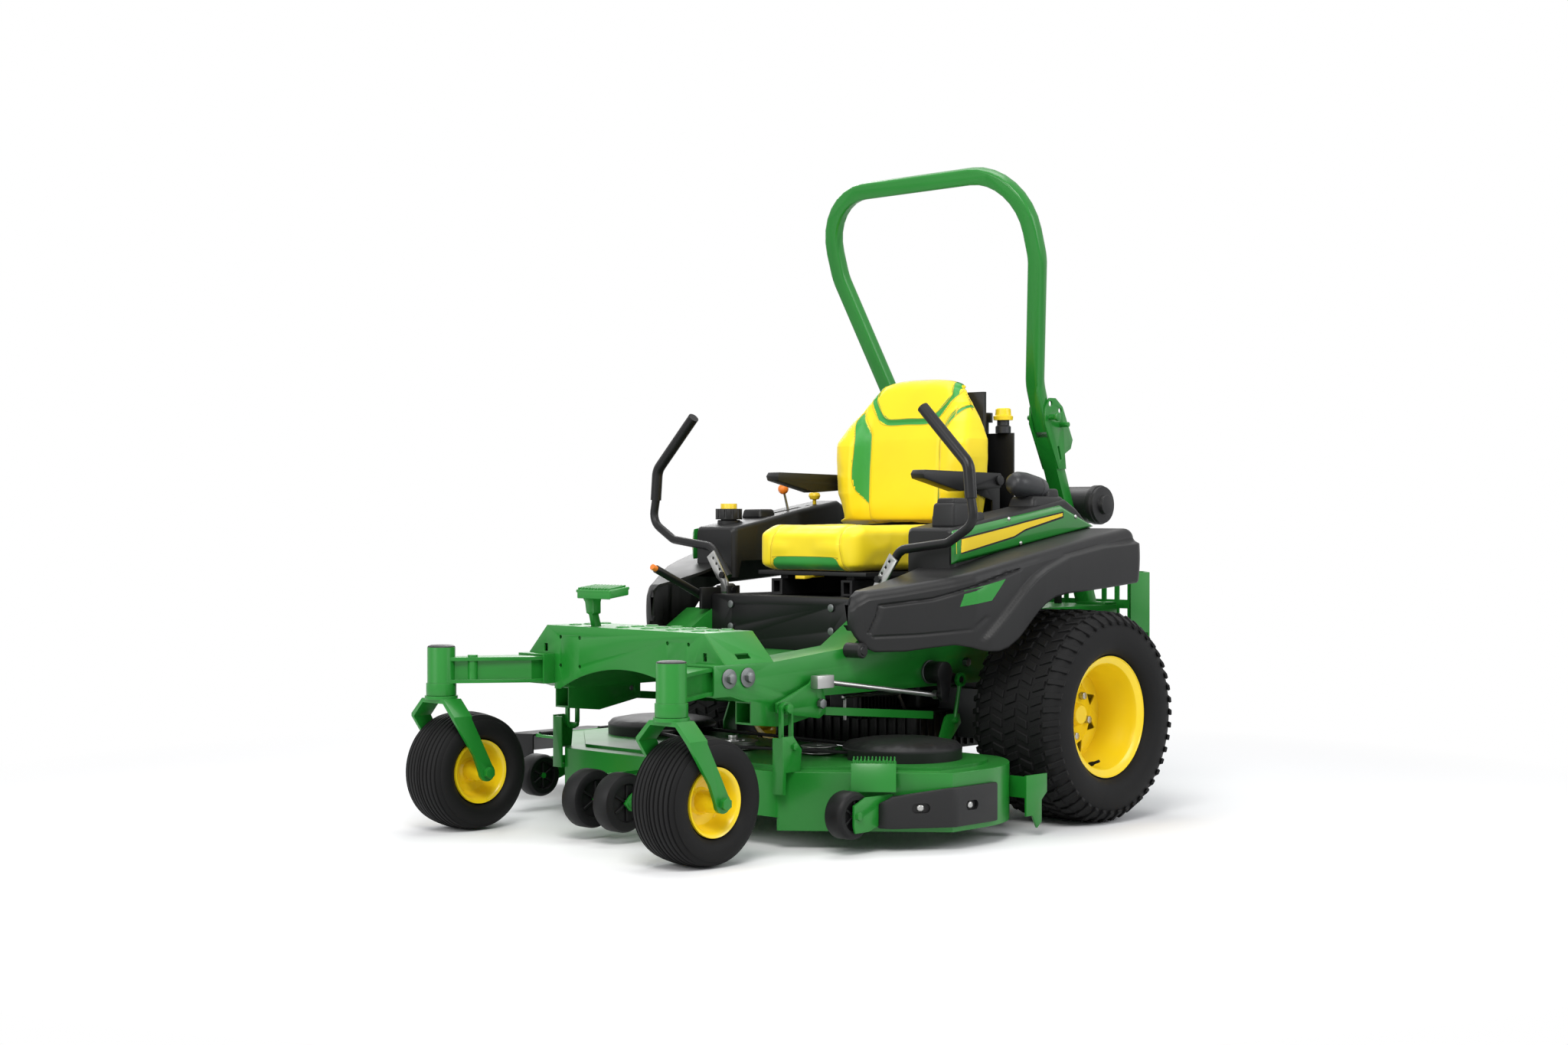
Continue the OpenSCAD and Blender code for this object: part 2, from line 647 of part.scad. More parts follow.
module seat_shell() at_axle() color(black) {
  half = seat_w / 2 - 30;
  slab([-half, cushion_y0 + 40, seat_low_z - 12], [half, 116, seat_low_z - gap]);
  slab([-half, 114 + gap, seat_low_z - 12], [half, 128, back_top_z - 60]);
  slab([-half, 105, seat_low_z - 12], [half, 127, back_low_z - 20]);
  both() {
    across_x(back_w / 2 + 2, back_w / 2 + 8)
      polygon([[20, arm_z - 40], [20, arm_z + 10], [arm_y, arm_z + 24], [132, arm_z + 10],
        [132, arm_z - 160], [96, arm_z - 160], [96, arm_z - 60]]);
    slab([half - 20, 127, arm_z - 160], [back_w / 2 + 8, 132, arm_z + 10]);
    bar_x(8, back_w / 2 + 8, back_w / 2 + 64, arm_y, arm_z);
    bar_x(15, back_w / 2 + 61.3, back_w / 2 + 68, arm_y, arm_z);
  }
  both() slab([120, -400, seat_low_z - 23.5], [150, -60, seat_low_z - 12]);
}

module armrest() {
  x0 = back_w / 2 + 10;
  difference() {
    union() {
      across_x(x0, x0 + 50) polygon([[-290, arm_z + 16], [-284, arm_z + 2], [-120, arm_z - 34],
        [arm_y + 10, arm_z - 22], [arm_y + 22, arm_z], [arm_y + 10, arm_z + 22], [-120, arm_z + 26],
        [-280, arm_z + 28]]);
    }
    bar_x(8 + run_gap, x0 - 1, x0 + 51, arm_y, arm_z);
  }
}

module armrest_left() at_axle() color(black) armrest();
module armrest_right() at_axle() color(black) flip_x() armrest();

module slide_lever() at_axle() color(yellow) {
  slab([-2, cushion_y0 - 8, seat_low_z - 18], [12, -380, seat_low_z - 12 - gap]);
  hull() {
    translate([-14, cushion_y0 - 12, seat_low_z - 21]) cube([38, 10, 9]);
    translate([-10, cushion_y0 + 12, seat_low_z - 19]) cube([30, 10, 6]);
  }
}

// ---- bodywork ----

wall = 4.5;

// Slices of the fender; d draws the skin in
module fender_slice(y, x1, z0, z1, d, x0 = rail_half + gap) {
  translate([x0 - (d > 0 ? 60 : 0), y, z0 - (d > 0 ? 90 : 0)])
    cube([x1 - x0 - d + (d > 0 ? 60 : 0), 1, z1 - z0 - d + (d > 0 ? 90 : 0)]);
}

fender_out = drive_x + 52;
console_y = -395;
console_out = 525;

module fender_form(d) {
  hull() {
    fender_slice(-690 + d, rail_half + 30, 508, 660, d);
    fender_slice(-430, drive_x - 8, 500, 726, d);
  }
  hull() {
    fender_slice(-430, drive_x - 8, 500, 726, d);
    fender_slice(-215, fender_out, drive_r + 340, 780, d);
  }
  hull() {
    fender_slice(-215, fender_out, drive_r + 340, 780, d);
    fender_slice(250 - d, fender_out, drive_r + 411, 848, d);
  }
  hull() {
    fender_slice(console_y + d, console_out, 690, 846, d);
    fender_slice(130, console_out, 740, 930, d);
    fender_slice(249 - d, console_out, 740, 850, d);
  }
}

module fender() {
  difference() {
    fender_form(0);
    fender_form(wall);
  }
  bar_x(18, rail_half + gap, rail_half + 56, -648, 545);
}

knob_x = 463;
hood_y = 40;

module fender_left() at_axle() color(black) {
  fender();
  translate([knob_x, -290, 850]) cylinder(r = 44, h = 66);
  turned_z(knob_x, -290, 915) polygon([[0, 0], [46, 0], [40, 18], [0, 22]]);
  slab([415, hood_y - 20, 890], [520, hood_y + 100, 948]);
  translate([468, hood_y - 30, 955]) rotate([-78, 0, 0]) cylinder(r = 36, h = 120);
}

cap_x = -462;
cap_y = -315;
throttle_x = -445;
throttle_y = -60;
switch_x = -445;
switch_y = 60;

// Height of the console's top at a station along it
function console_z(y) = 846 + (y - console_y) * 84 / (130 - console_y);

module fender_right() at_axle() color(black) {
  difference() {
    union() {
      flip_x() fender();
      bar_z(34, console_z(cap_y) - 12, console_z(cap_y) + 10, cap_x, cap_y);
      slab([throttle_x - 9, throttle_y - 6, console_z(throttle_y) - 60],
        [throttle_x - 4, throttle_y + 20, console_z(throttle_y) - 3]);
      bar_z(16, console_z(switch_y) - 30, console_z(switch_y) + 3, switch_x, switch_y);
    }
    bar_z(26, console_z(cap_y) - 30, console_z(cap_y) + 12, cap_x, cap_y);
    slab([throttle_x - 3, throttle_y - 75, console_z(throttle_y) - 40],
      [throttle_x + 15, throttle_y + 55, console_z(throttle_y) + 30]);
    bar_z(6 + run_gap, console_z(switch_y) - 40, console_z(switch_y) + 10, switch_x, switch_y);
  }
  bar_x(5, throttle_x - 12, throttle_x + 8, throttle_y + 7, console_z(throttle_y) - 45);
}

module fuel_cap() at_axle() color(black) {
  z = console_z(cap_y) + 10;
  difference() {
    bar_z(42, z + gap, z + 34, cap_x, cap_y);
    bar_z(35, z, z + 4, cap_x, cap_y);
    for (i = [0 : 11])
      translate([cap_x, cap_y, z + 6]) rotate([0, 0, i * 30]) translate([42, 0, 0]) cylinder(r = 4, h = 30);
  }
  bar_z(25.9, z - 10, z + 4, cap_x, cap_y);
  bar_z(26, z + 34, z + 50, cap_x, cap_y);
}

module throttle_lever() at_axle() color(orange) {
  z = console_z(throttle_y) - 45;
  y = throttle_y + 7;
  difference() {
    union() {
      bar_x(9, throttle_x - 2, throttle_x + 8, y, z);
      translate([throttle_x + 3, y, z]) rotate([18, 0, 0]) {
        translate([0, 0, 5]) cylinder(r = 4, h = 100);
        translate([0, 0, 118]) sphere(r = 17);
      }
    }
    bar_x(5 + run_gap, throttle_x - 3, throttle_x + 9, y, z);
  }
}

module blade_knob() at_axle() color(yellow) {
  z = console_z(switch_y) + 3;
  bar_z(6, z - 20, z + 12, switch_x, switch_y);
  turned_z(switch_x, switch_y, z + 12) polygon([[0, 0], [14, 0], [20, 12], [16, 22], [0, 24]]);
}

// Bevelled panel on the fender's outer side
module side_panel() {
  x = console_out + gap;
  hull() {
    across_x(x, x + 4) polygon([[-390, 756], [-390, 832], [104, 912], [236, 853]]);
    across_x(x + 4, x + 18) polygon([[-374, 768], [-374, 822], [98, 898], [204, 855]]);
  }
}

module side_panels() at_axle() color(green) both() side_panel();

// ---- engine bay ----

module rear_shield() at_axle() color(black) {
  difference() {
    slab([-rail_in + 16, 196, frame_top_z], [rail_in - 16, 202, 1137]);
    slab([-rail_in + 15, 195, 1090], [-200, 203, 1138]);
  }
  both() slab([80, 201, frame_top_z], [rail_in - 16, 222, frame_top_z + 5]);
  difference() {
    bar_z(18, 1137, 1172, 150, 199);
    bar_z(12, 1150, 1173, 150, 199);
  }
  bar_z(30, 1172, 1202, 150, 199);
}

module engine_block() at_axle() color([0.45, 0.45, 0.45]) {
  bar_z(120, frame_top_z + gap, frame_top_z + 165 - gap, 0, engine_y + 40);
  bar_z(24, frame_top_z - 130, frame_top_z + gap, 0, engine_y);
  bar_z(68, frame_top_z - 120, frame_top_z - 60, 0, engine_y);
  for (s = [-1, 1])
    translate([0, engine_y + 40, frame_top_z + 90]) rotate([0, 90, 90 + s * 45]) {
      cylinder(r = 50, h = 190);
      for (i = [0 : 5])
        translate([0, 0, 105 + i * 14]) cylinder(r = 66, h = 6);
      translate([0, 0, 190]) cylinder(r = 58, h = 26);
    }
}

module engine_shroud() at_axle() color(black) {
  z = frame_top_z + 165;
  y = engine_y + 105;
  difference() {
    turned_z(0, y, z) polygon([[90, 0], [175, 0], [175, 130], [140, 170], [108, 170], [108, 160], [136, 160],
      [168, 125], [168, 4], [90, 4]]);
    slab([-200, 0, z - 2], [200, 224, z + 180]);
  }
  turned_z(0, y, z + 158) polygon([[96, 0], [112, 0], [112, 9], [96, 9]]);
  turned_z(0, y, z + 158) polygon([[66, 0], [80, 0], [80, 9], [66, 9]]);
  turned_z(0, y, z + 158) polygon([[36, 0], [50, 0], [50, 9], [36, 9]]);
  bar_z(20, z + 158, z + 167, 0, y);
  for (a = [45 : 90 : 315])
    translate([0, y, z + 160]) rotate([0, 0, a]) translate([15, -4, 0]) cube([86, 8, 6]);
}

module air_cleaner() at_axle() color(black) {
  y = 500;
  z = 915;
  difference() {
    bar_x(58, 195, 392, y, z);
    bar_x(54, 200, 387, y, z);
  }
  bar_x(62, 360, 382, y, z);
  bar_x(30, 391, 408, y, z);
  bar_x(26, 172, 196, y, z);
  slab([204, y - 8, frame_top_z + gap], [224, y + 8, z - 56]);
}

module transaxle() {
  difference() {
    union() {
      slab([190, -95, drive_r - 85], [rail_half - 30, 95, drive_r + 62]);
      bar_x(60, rail_half - 30, rail_half - 4, 0, drive_r);
      bar_z(40, drive_r + 61, drive_r + 130, rail_in - 44, 40);
    }
    bar_x(axle_r + run_gap, rail_half - 60, rail_half, 0, drive_r);
  }
  slab([rail_in + 2, -60, drive_r + 61], [rail_half - 32, 0, rail_low_z - gap]);
}

module transaxles() at_axle() color(steel) both() transaxle();

hitch_r = 10;
hitch_z = 470;

module rear_guard() at_axle() color(green) {
  difference() {
    union() {
      slab([-480, guard_y - 6, 440], [480, guard_y, 706]);
      both() {
        hull() {
          slab([478, guard_y - 6, 440], [481, guard_y, 706]);
          slab([554, guard_y - 96, 480], [560, guard_y - 90, 706]);
        }
        slab([554, guard_y - 190, 520], [560, guard_y - 90, 706]);
      }
      slab([-60, guard_y - 12, hitch_z - 45], [60, guard_y, hitch_z + 45]);
      both() slab([rail_in, rail_rear_y, frame_top_z - 60], [rail_in + 60, guard_y - 6, frame_top_z - 30]);
    }
    bar_y(hitch_r, guard_y - 20, guard_y + 1, 0, hitch_z);
    for (x = [-400 : 50 : 400], z = [560, 640])
      if (abs(x) > 20 || z > 600)
        slab([x - 16, guard_y - 20, z - 26], [x + 16, guard_y + 1, z + 26]);
  }
}

// ---- steering levers ----

lever_y = -462;
lever_z = 655;
swing_x = 318;
swing_z = 700;

module control_plate() {
  difference() {
    union() {
      bar_x(20, rail_in + 10, rail_in + 44, lever_y, lever_z);
      across_y(lever_y - lever_d / 2 - 7, lever_y - lever_d / 2 - 1)
        polygon([[rail_in + 10, lever_z - 6], [rail_in + 10, lever_z + 26], [swing_x + 42, swing_z + 74],
          [swing_x + 70, swing_z + 54], [swing_x + 26, swing_z - 10], [rail_in + 40, lever_z + 24],
          [rail_in + 40, lever_z - 6]]);
    }
    bar_x(10 + run_gap, rail_in, rail_in + 60, lever_y, lever_z);
    bar_y(6 + run_gap, lever_y - 30, lever_y, swing_x, swing_z);
    for (i = [1 : 3])
      translate([swing_x + i * 14, lever_y, swing_z + i * 17]) rotate([90, 0, 0]) cylinder(r = 4.5, h = 40);
  }
}

module steering_lever() {
  knee = [642, 930];
  elbow = [634, 1024];
  tip = [468, 1186];
  bend = 50;
  along = unit(tip - elbow);
  translate([0, lever_y, 0]) rotate([90, 0, 0]) {
    bent_tube([[swing_x - 4, swing_z - 6], [385, 785], [560, 806], [656, 862], knee, elbow, tip - 8 * along],
      bend, ring(lever_d / 2, 16), 6);
    difference() {
      bent_tube([knee, elbow, tip], bend, ring(grip_d / 2, 16), 6);
      bent_tube([knee - unit(elbow - knee), elbow, tip - 6 * along], bend, ring(lever_d / 2 + gap, 16), 6);
    }
  }
  bar_y(6, lever_y - lever_d / 2 - 7, lever_y, swing_x, swing_z);
  hex_y(19, lever_y - lever_d / 2 - 14, lever_y - lever_d / 2 - 7 - gap, swing_x, swing_z);
}

module control_plate_left() at_axle() color(steel) control_plate();
module control_plate_right() at_axle() color(steel) flip_x() control_plate();
module lever_left() at_axle() color(black) steering_lever();
module lever_right() at_axle() color(black) flip_x() steering_lever();

height_tilt = 24;

module height_lever() at_axle() color(black) {
  translate([-314, kick_y, 632]) {
    difference() {
      union() {
        rotate([0, 90, 0]) translate([0, 0, -10]) cylinder(r = 22, h = 20);
        rotate([90 - height_tilt, 0, 0]) cylinder(r = 12, h = 225);
      }
      rotate([0, 90, 0]) translate([0, 0, -13]) cylinder(r = 11 + run_gap, h = 26);
      rotate([90 - height_tilt, 0, 0]) translate([0, 0, 195]) cylinder(r = 9.1, h = 40);
    }
  }
}

module lever_button() at_axle() color(orange) {
  translate([-314, kick_y, 632]) rotate([90 - height_tilt, 0, 0]) translate([0, 0, 204])
    cylinder(r = 9, h = 38);
}

// ---- mowing deck ----

// Plan of the deck shell; d draws it in
module deck_plan(d) {
  difference() {
    union() {
      for (s = [-1, 1])
        translate([s * spindle_x, deck_out_y]) circle(r = deck_r - d, $fn = 96);
      polygon([[-deck_half + d, deck_out_y], [-deck_half + d, deck_out_y - 137 + d * 0.38],
        [-spindle_x + 60 + d * 0.38, deck_front_y + d], [spindle_x - 60 - d * 0.38, deck_front_y + d],
        [deck_half - d, deck_out_y - 137 + d * 0.38], [deck_half - d, deck_out_y]]);
      translate([-spindle_x, deck_out_y - 1]) square([2 * spindle_x, 166 - d]);
    }
    translate([-deck_half - 1, deck_rear_y - d]) square([2 * deck_half + 2, 120]);
  }
}

roller_axle_r = 8;
nose_y = deck_front_y - 220;
nose_z = 112;
nose_r = 80;
side_wheel_r = 63;
side_wheel_y = deck_front_y + 64;
side_wheel_x = 630;
side_wheel_z = 104;
rear_roller_x = 430;
rear_roller_y = deck_rear_y + 88;
rear_roller_z = 112;
rear_roller_r = 60;

module deck_shell() at_axle() color(green) {
  difference() {
    across_z(skirt_z, deck_top_z) deck_plan(0);
    across_z(skirt_z - 1, deck_top_z - deck_wall) deck_plan(deck_wall);
    slab([-spindle_x, deck_front_y - 1, skirt_z - 1], [spindle_x, deck_front_y + deck_wall + 1, nose_skirt_z]);
    slab([-deck_half - 1, chute_y0 + 4, skirt_z - 2], [-deck_half + 100, chute_y1 - 6, deck_top_z - 12]);
    for (p = spindles)
      bar_z(30, deck_top_z - 20, deck_top_z + 1, p[0], p[1]);
  }
  difference() {
    across_z(deck_top_z - 1, deck_top_z + deck_raise) deck_plan(60);
    across_z(deck_top_z - 2, deck_top_z + deck_raise - deck_wall) deck_plan(65);
    for (p = spindles)
      bar_z(76, deck_top_z - 20, deck_top_z + 20, p[0], p[1]);
  }
  for (p = spindles)
    difference() {
      union() {
        bar_z(74, deck_top_z - deck_wall - 6, deck_top_z - deck_wall, p[0], p[1]);
        bar_z(30, deck_top_z - 60, pulley_z - 8, p[0], p[1]);
        bar_z(71.7, deck_top_z, deck_top_z + 6, p[0], p[1]);
      }
      bar_z(spindle_d / 2 + run_gap, deck_top_z - 70, pulley_z, p[0], p[1]);
    }
  bar_z(8, deck_top_z + deck_raise - 1, pulley_z + 12, idler_x, idler_y);
  chute_mounts();
}

spindles = [[spindle_x, deck_out_y], [0, deck_mid_y], [-spindle_x, deck_out_y]];
cover_low_z = deck_top_z + deck_raise;

module spindle(p) {
  bar_z(spindle_d / 2, blade_z - 14, pulley_z + 24, p[0], p[1]);
  turned_z(p[0], p[1], pulley_z) polygon([[spindle_d / 2, -7], [pulley_r, -7], [pulley_r, -6],
    [pulley_r - 8, -2], [pulley_r - 8, 8], [pulley_r, 12], [pulley_r, 13], [34, 13], [34, 3], [24, 3],
    [24, 15], [spindle_d / 2, 15]]);
  bar_z(14, pulley_z + 18, pulley_z + 28, p[0], p[1]);
  difference() {
    union() {
      translate([p[0], p[1], blade_z - 3]) linear_extrude(6)
        polygon([[-blade_l / 2 + 4, -32], [blade_l / 2 - 4, -32], [blade_l / 2 - 4, 10], [60, 32],
          [-60, 32], [-blade_l / 2 + 4, 32]]);
      for (s = [-1, 1])
        translate([p[0] + s * (blade_l / 2 - 55), p[1] + 22 * s, blade_z + 3]) rotate([s * 25, 0, 0])
          translate([-46, -5, 0]) cube([92, 4, 18]);
    }
    bar_z(spindle_d / 2, blade_z - 10, blade_z + 30, p[0], p[1]);
  }
  bar_z(22, blade_z - 14, blade_z - 3, p[0], p[1]);
}

module spindle_left() at_axle() color(steel) spindle(spindles[0]);
module spindle_center() at_axle() color(steel) spindle(spindles[1]);
module spindle_right() at_axle() color(steel) spindle(spindles[2]);

idler_x = 270;
idler_y = deck_mid_y + 72;
idler_r = 52;

module belt_loop(grow) {
  hull() {
    for (p = spindles)
      translate(p) circle(r = pulley_r - 8 + grow, $fn = 96);
    translate([idler_x, idler_y]) circle(r = idler_r - 6 + grow, $fn = 96);
  }
}

module drive_belt() at_axle() color(tyre_black)
  across_z(pulley_z - 1.5, pulley_z + 7.5) difference() {
    belt_loop(11);
    belt_loop(gap + 0.1);
  }

module idler_pulley() at_axle() color(steel) {
  turned_z(idler_x, idler_y, pulley_z) polygon([[8 + run_gap, -7], [idler_r, -7], [idler_r, -5],
    [idler_r - 6, -3], [idler_r - 6, 9], [idler_r, 11], [idler_r, 13], [8 + run_gap, 13]]);
}

module deck_covers() at_axle() color(black) {
  for (s = [-1, 1])
    translate([s * spindle_x, deck_out_y, cover_low_z]) {
      rotate_extrude($fn = 96) polygon([[0, 52], [110, 52], [cover_r - 12, 44], [cover_r, 32], [cover_r, 25],
        [cover_r - 4, 25], [cover_r - 4, 30], [cover_r - 14, 40], [108, 48], [0, 48]]);
      linear_extrude(26) difference() {
        circle(r = cover_r - 0.5, $fn = 96);
        circle(r = cover_r - 4.5, $fn = 96);
        translate([-s * cover_r - 100, -cover_r - 1]) square([200, 2 * cover_r + 2]);
        rotate(s > 0 ? 200 : -20) translate([0, -70]) square([cover_r + 20, 140]);
      }
    }
}

hanger_x = 469;

// Pieces bolted on the shell: hangers, roller arms, step and slanted plate
module deck_brackets() at_axle() color(green) {
  front_y = deck_front_y - 12;
  top_z = deck_top_z + gap;
  both() {
    difference() {
      union() {
        across_x(hanger_x - 5, hanger_x) polygon([[front_y, 148], [front_y, 300], [front_y + 40, 300],
          [front_y + 72, 262], [front_y + 66, top_z], [deck_front_y - gap, top_z], [deck_front_y - gap, 148]]);
        slab([hanger_x - 38, front_y, 148], [hanger_x, front_y + 5, 296]);
        slab([hanger_x - 38, front_y + 4, 148], [hanger_x - 4, deck_front_y - gap, 160]);
      }
      bar_x(6, hanger_x - 6, hanger_x + 1, link_y, 272);
    }
    bar_x(6, 408, hanger_x + 4, link_y, 272);
    hex_x(18, hanger_x + gap, hanger_x + 10, link_y, 272);
    across_x(436, 442) polygon([[-360, top_z], [-360, 240], [-332, 304], [-318, 312], [-270, 312],
      [-262, 285], [-306, 240], [-306, top_z]]);
    bar_x(7, 422, 454, -292, 294);
    hex_x(18, 442, 450, -292, 294);
    across_x(hanger_x - 39, hanger_x - 27) difference() {
      link_outline(22.5);
      link_outline(14.5);
    }
    translate([0, -292, 294]) rotate([-13, 0, 0]) translate([hanger_x - 27, 0, 0]) cylinder(r = 6, h = 100);
    across_x(hanger_x - 33, hanger_x - 21) difference() {
      translate([lift_y + 92, lift_z - 25]) circle(r = 20);
      translate([lift_y + 92, lift_z - 25]) circle(r = 12.5);
    }
    side_wheel_bracket();
    rear_roller_bracket();
    slab([726.4, -398, 110], [deck_half, -392, 168]);
    across_x(deck_half - 6, deck_half) polygon([[-398, 60], [-398, 171], [-306, 171], [-306, 120],
      [-330, 100], [-330, 40], [-350, 24], [-370, 60]]);
  }
  both() across_x(26, 32) roller_arm();
  both() across_x(96, 102) roller_arm();
  bar_x(roller_axle_r, -108, 108, nose_y, nose_z);
  translate([600, -905, 0]) rotate([0, 0, 41]) {
    translate([0, -6, top_z]) cube([118, 82, 4]);
    across_x(0, 118) polygon([[-20, 160], [-17, 160], [3, 232], [0, 232]]);
    translate([6, 22, top_z + 3]) difference() {
      cube([112, 52, 20]);
      translate([-1, 4, -1]) cube([114, 44, 16]);
    }
    for (i = [0 : 8])
      translate([10 + i * 13, 22, top_z + 23]) rotate([-90, 0, 0]) cylinder(r = 5, h = 52, $fn = 6);
  }
}

// Long loop that hangs the deck on the front crank's pin
module link_outline(half) {
  hull() {
    translate([link_y + 4, crank_z + 6.5 - 14.5]) circle(r = half);
    translate([link_y + 4, 267 + 14.5]) circle(r = half);
  }
}

module roller_arm() {
  difference() {
    polygon([[deck_front_y - gap, 168], [deck_front_y - gap, 92], [nose_y + 50, 84], [nose_y, 92],
      [nose_y - 18, nose_z], [nose_y, 132], [nose_y + 60, 168]]);
    translate([nose_y, nose_z]) circle(r = roller_axle_r);
  }
}

// Where the shell's slanted corner wall stands at a given x
function shell_y(x) = deck_front_y + (x - spindle_x + 60) * (deck_out_y - 137 - deck_front_y) / (deck_half - spindle_x + 60);

module side_wheel_bracket() {
  x = side_wheel_x + 32;
  across_x(x, x + 6) polygon([[side_wheel_y - 16, 78], [side_wheel_y - 16, 132],
    [side_wheel_y + 30, 150], [shell_y(x) - 0.5, 150], [shell_y(x) - 0.5, 90],
    [side_wheel_y + 40, 60], [side_wheel_y - 10, 60]]);
  bar_x(roller_axle_r, x - 60, x, side_wheel_y, side_wheel_z);
  hex_x(20, x + 6, x + 14, side_wheel_y, side_wheel_z);
}

module rear_roller_bracket() {
  x = rear_roller_x + 34;
  across_x(x, x + 6) polygon([[deck_rear_y + gap, 70], [deck_rear_y + gap, 180], [rear_roller_y, 136],
    [rear_roller_y + 18, 112], [rear_roller_y, 90]]);
  slab([rear_roller_x - 50, deck_rear_y + gap, 150], [x + 1, deck_rear_y + gap + 6, 180]);
  bar_x(roller_axle_r, x - 68, x, rear_roller_y, rear_roller_z);
  hex_x(20, x + 6, x + 14, rear_roller_y, rear_roller_z);
}

module wheel_x(x0, x1, r, y, z) {
  m = (x1 - x0) / 2;
  turned_x((x0 + x1) / 2, y, z) polygon([[roller_axle_r + run_gap, -m + 2], [18, -m + 2], [22, -m + 6],
    [r * 0.55, -m + 6], [r * 0.6, -m], [r * 0.85, -m], [r * 0.97, -m * 0.7], [r, -m * 0.25], [r, m * 0.25],
    [r * 0.97, m * 0.7], [r * 0.85, m], [r * 0.6, m], [r * 0.55, m - 6], [22, m - 6], [18, m - 2],
    [roller_axle_r + run_gap, m - 2]]);
}

module nose_rollers() at_axle() color(black) both() wheel_x(33, 95, nose_r, nose_y, nose_z);

module side_rollers() at_axle() color(black)
  both() wheel_x(side_wheel_x - 30, side_wheel_x + 30, side_wheel_r, side_wheel_y, side_wheel_z);

module rear_rollers() at_axle() color(black)
  both() wheel_x(rear_roller_x - 32, rear_roller_x + 32, rear_roller_r, rear_roller_y, rear_roller_z);

module side_bumper() at_axle() color(black) {
  y = deck_out_y - 137;
  difference() {
    across_z(64, 168) polygon([[deck_half + gap, -530], [deck_half + gap, y], [deck_half - 80, shell_y(deck_half - 80) - 0.4],
      [deck_half - 98, -866], [deck_half - 84, -874], [deck_half + 14, y + 4], [deck_half + 14, -540]]);
    for (y = [-650, -590])
      bar_x(14, deck_half + 6, deck_half + 20, y, 116);
    across_x(deck_half - 110, deck_half + 20) polygon([[-880, 138], [-800, 170], [-880, 170]]);
  }
}

hinge_rod_r = 5;
chute_z = deck_top_z - 4;
chute_y0 = -824;
chute_y1 = -483;

module discharge_chute() at_axle() color([0.25, 0.25, 0.26]) {
  x = -deck_half - 15;
  difference() {
    across_y(chute_y0, chute_y1) polygon([[x - 9, chute_z - 3], [x - 9, chute_z + 3], [x - 0.6 * chute_w,
      chute_z - 4], [x - chute_w, chute_z - 74], [x - chute_w, chute_z - 80], [x - 0.6 * chute_w, chute_z - 10]]);
    slab([x - chute_w - 5, chute_y0 - 1, 0], [x - chute_w + 30, chute_y0 + 30, 300]);
  }
  for (y = [chute_y0, chute_y1 - 5])
    across_y(y, y + 5) polygon([[x - 12, chute_z - 1], [x - 0.6 * chute_w, chute_z - 7],
      [x - 0.8 * chute_w, chute_z - 60], [x - 60, chute_z - 90], [x - 12, chute_z - 60]]);
  for (y = [chute_y0 + 20, chute_y1 - 80])
    difference() {
      union() {
        bar_y(10, y, y + 60, x, chute_z);
        slab([x - 12, y, chute_z - 3], [x - 6, y + 60, chute_z + 3]);
      }
      bar_y(hinge_rod_r + run_gap, y - 1, y + 61, x, chute_z);
    }
}

module chute_mounts() {
  x = -deck_half - 15;
  bar_y(hinge_rod_r, chute_y0 + 8, chute_y1 - 8, x, chute_z);
  for (y = [chute_y0 + 8, chute_y1 - 18])
    slab([x - 6, y, chute_z - 6], [-deck_half + 95, y + 10, chute_z + 2]);
}

// ---- deck lift ----

crank_x = rail_half + 12;

module lift_shaft() at_axle() color(black) {
  bar_x(20, -crank_x - 14, crank_x + 14, lift_y, lift_z);
  both() difference() {
    union() {
      bar_x(32, rail_half + 8 + gap, crank_x + 50, lift_y, lift_z);
      bar_x(8, crank_x + 13, crank_x + 36, lift_y + 92, lift_z - 25);
      bar_x(8, crank_x + 24, crank_x + 36, lift_y, lift_z - 64);
      across_x(crank_x + 36, crank_x + 50) {
        polygon([[lift_y - 26, lift_z - 10], [lift_y - 14, lift_z - 66], [lift_y + 16, lift_z - 74],
          [lift_y + 30, lift_z - 6]]);
        translate([lift_y, lift_z - 64]) circle(r = 18);
      }
      across_x(crank_x, crank_x + 13) {
        polygon([[lift_y, lift_z - 26], [lift_y, lift_z + 24], [lift_y + 98, lift_z - 12],
          [lift_y + 92, lift_z - 40]]);
        translate([lift_y + 92, lift_z - 25]) circle(r = 15);
      }
    }
    bar_x(20, 0, crank_x + 14, lift_y, lift_z);
  }
}

module front_cranks() at_axle() color(green) both() {
  difference() {
    across_x(crank_x, crank_x + 8) {
      polygon([[crank_y + 26, crank_z + 4], [crank_y + 6, crank_z + 66], [crank_y - 20, crank_z + 72],
        [crank_y - 36, crank_z + 56], [link_y - 14, crank_z + 10], [link_y - 12, crank_z - 16],
        [crank_y, crank_z - 40], [crank_y + 26, crank_z - 26]]);
    }
    bar_x(8 + run_gap, crank_x - 1, crank_x + 9, crank_y, crank_z);
  }
  bar_x(8, crank_x + 8, crank_x + 38, link_y, crank_z - 3);
  bar_x(12, crank_x + 38, crank_x + 46, link_y, crank_z - 3);
}

module lift_rods() at_axle() color(steel) both() {
  x = crank_x + 8 + gap;
  slab([x, crank_y - 34, lift_z - 17], [x + 26, crank_y + 30, lift_z + 17]);
  translate([x + 8, crank_y + 30, lift_z - 4]) rotate([-90 - 7.8, 0, 0]) cylinder(r = 7, h = 440);
  bar_x(13, x + 0.4, x + 15.4, lift_y, lift_z - 64);
}

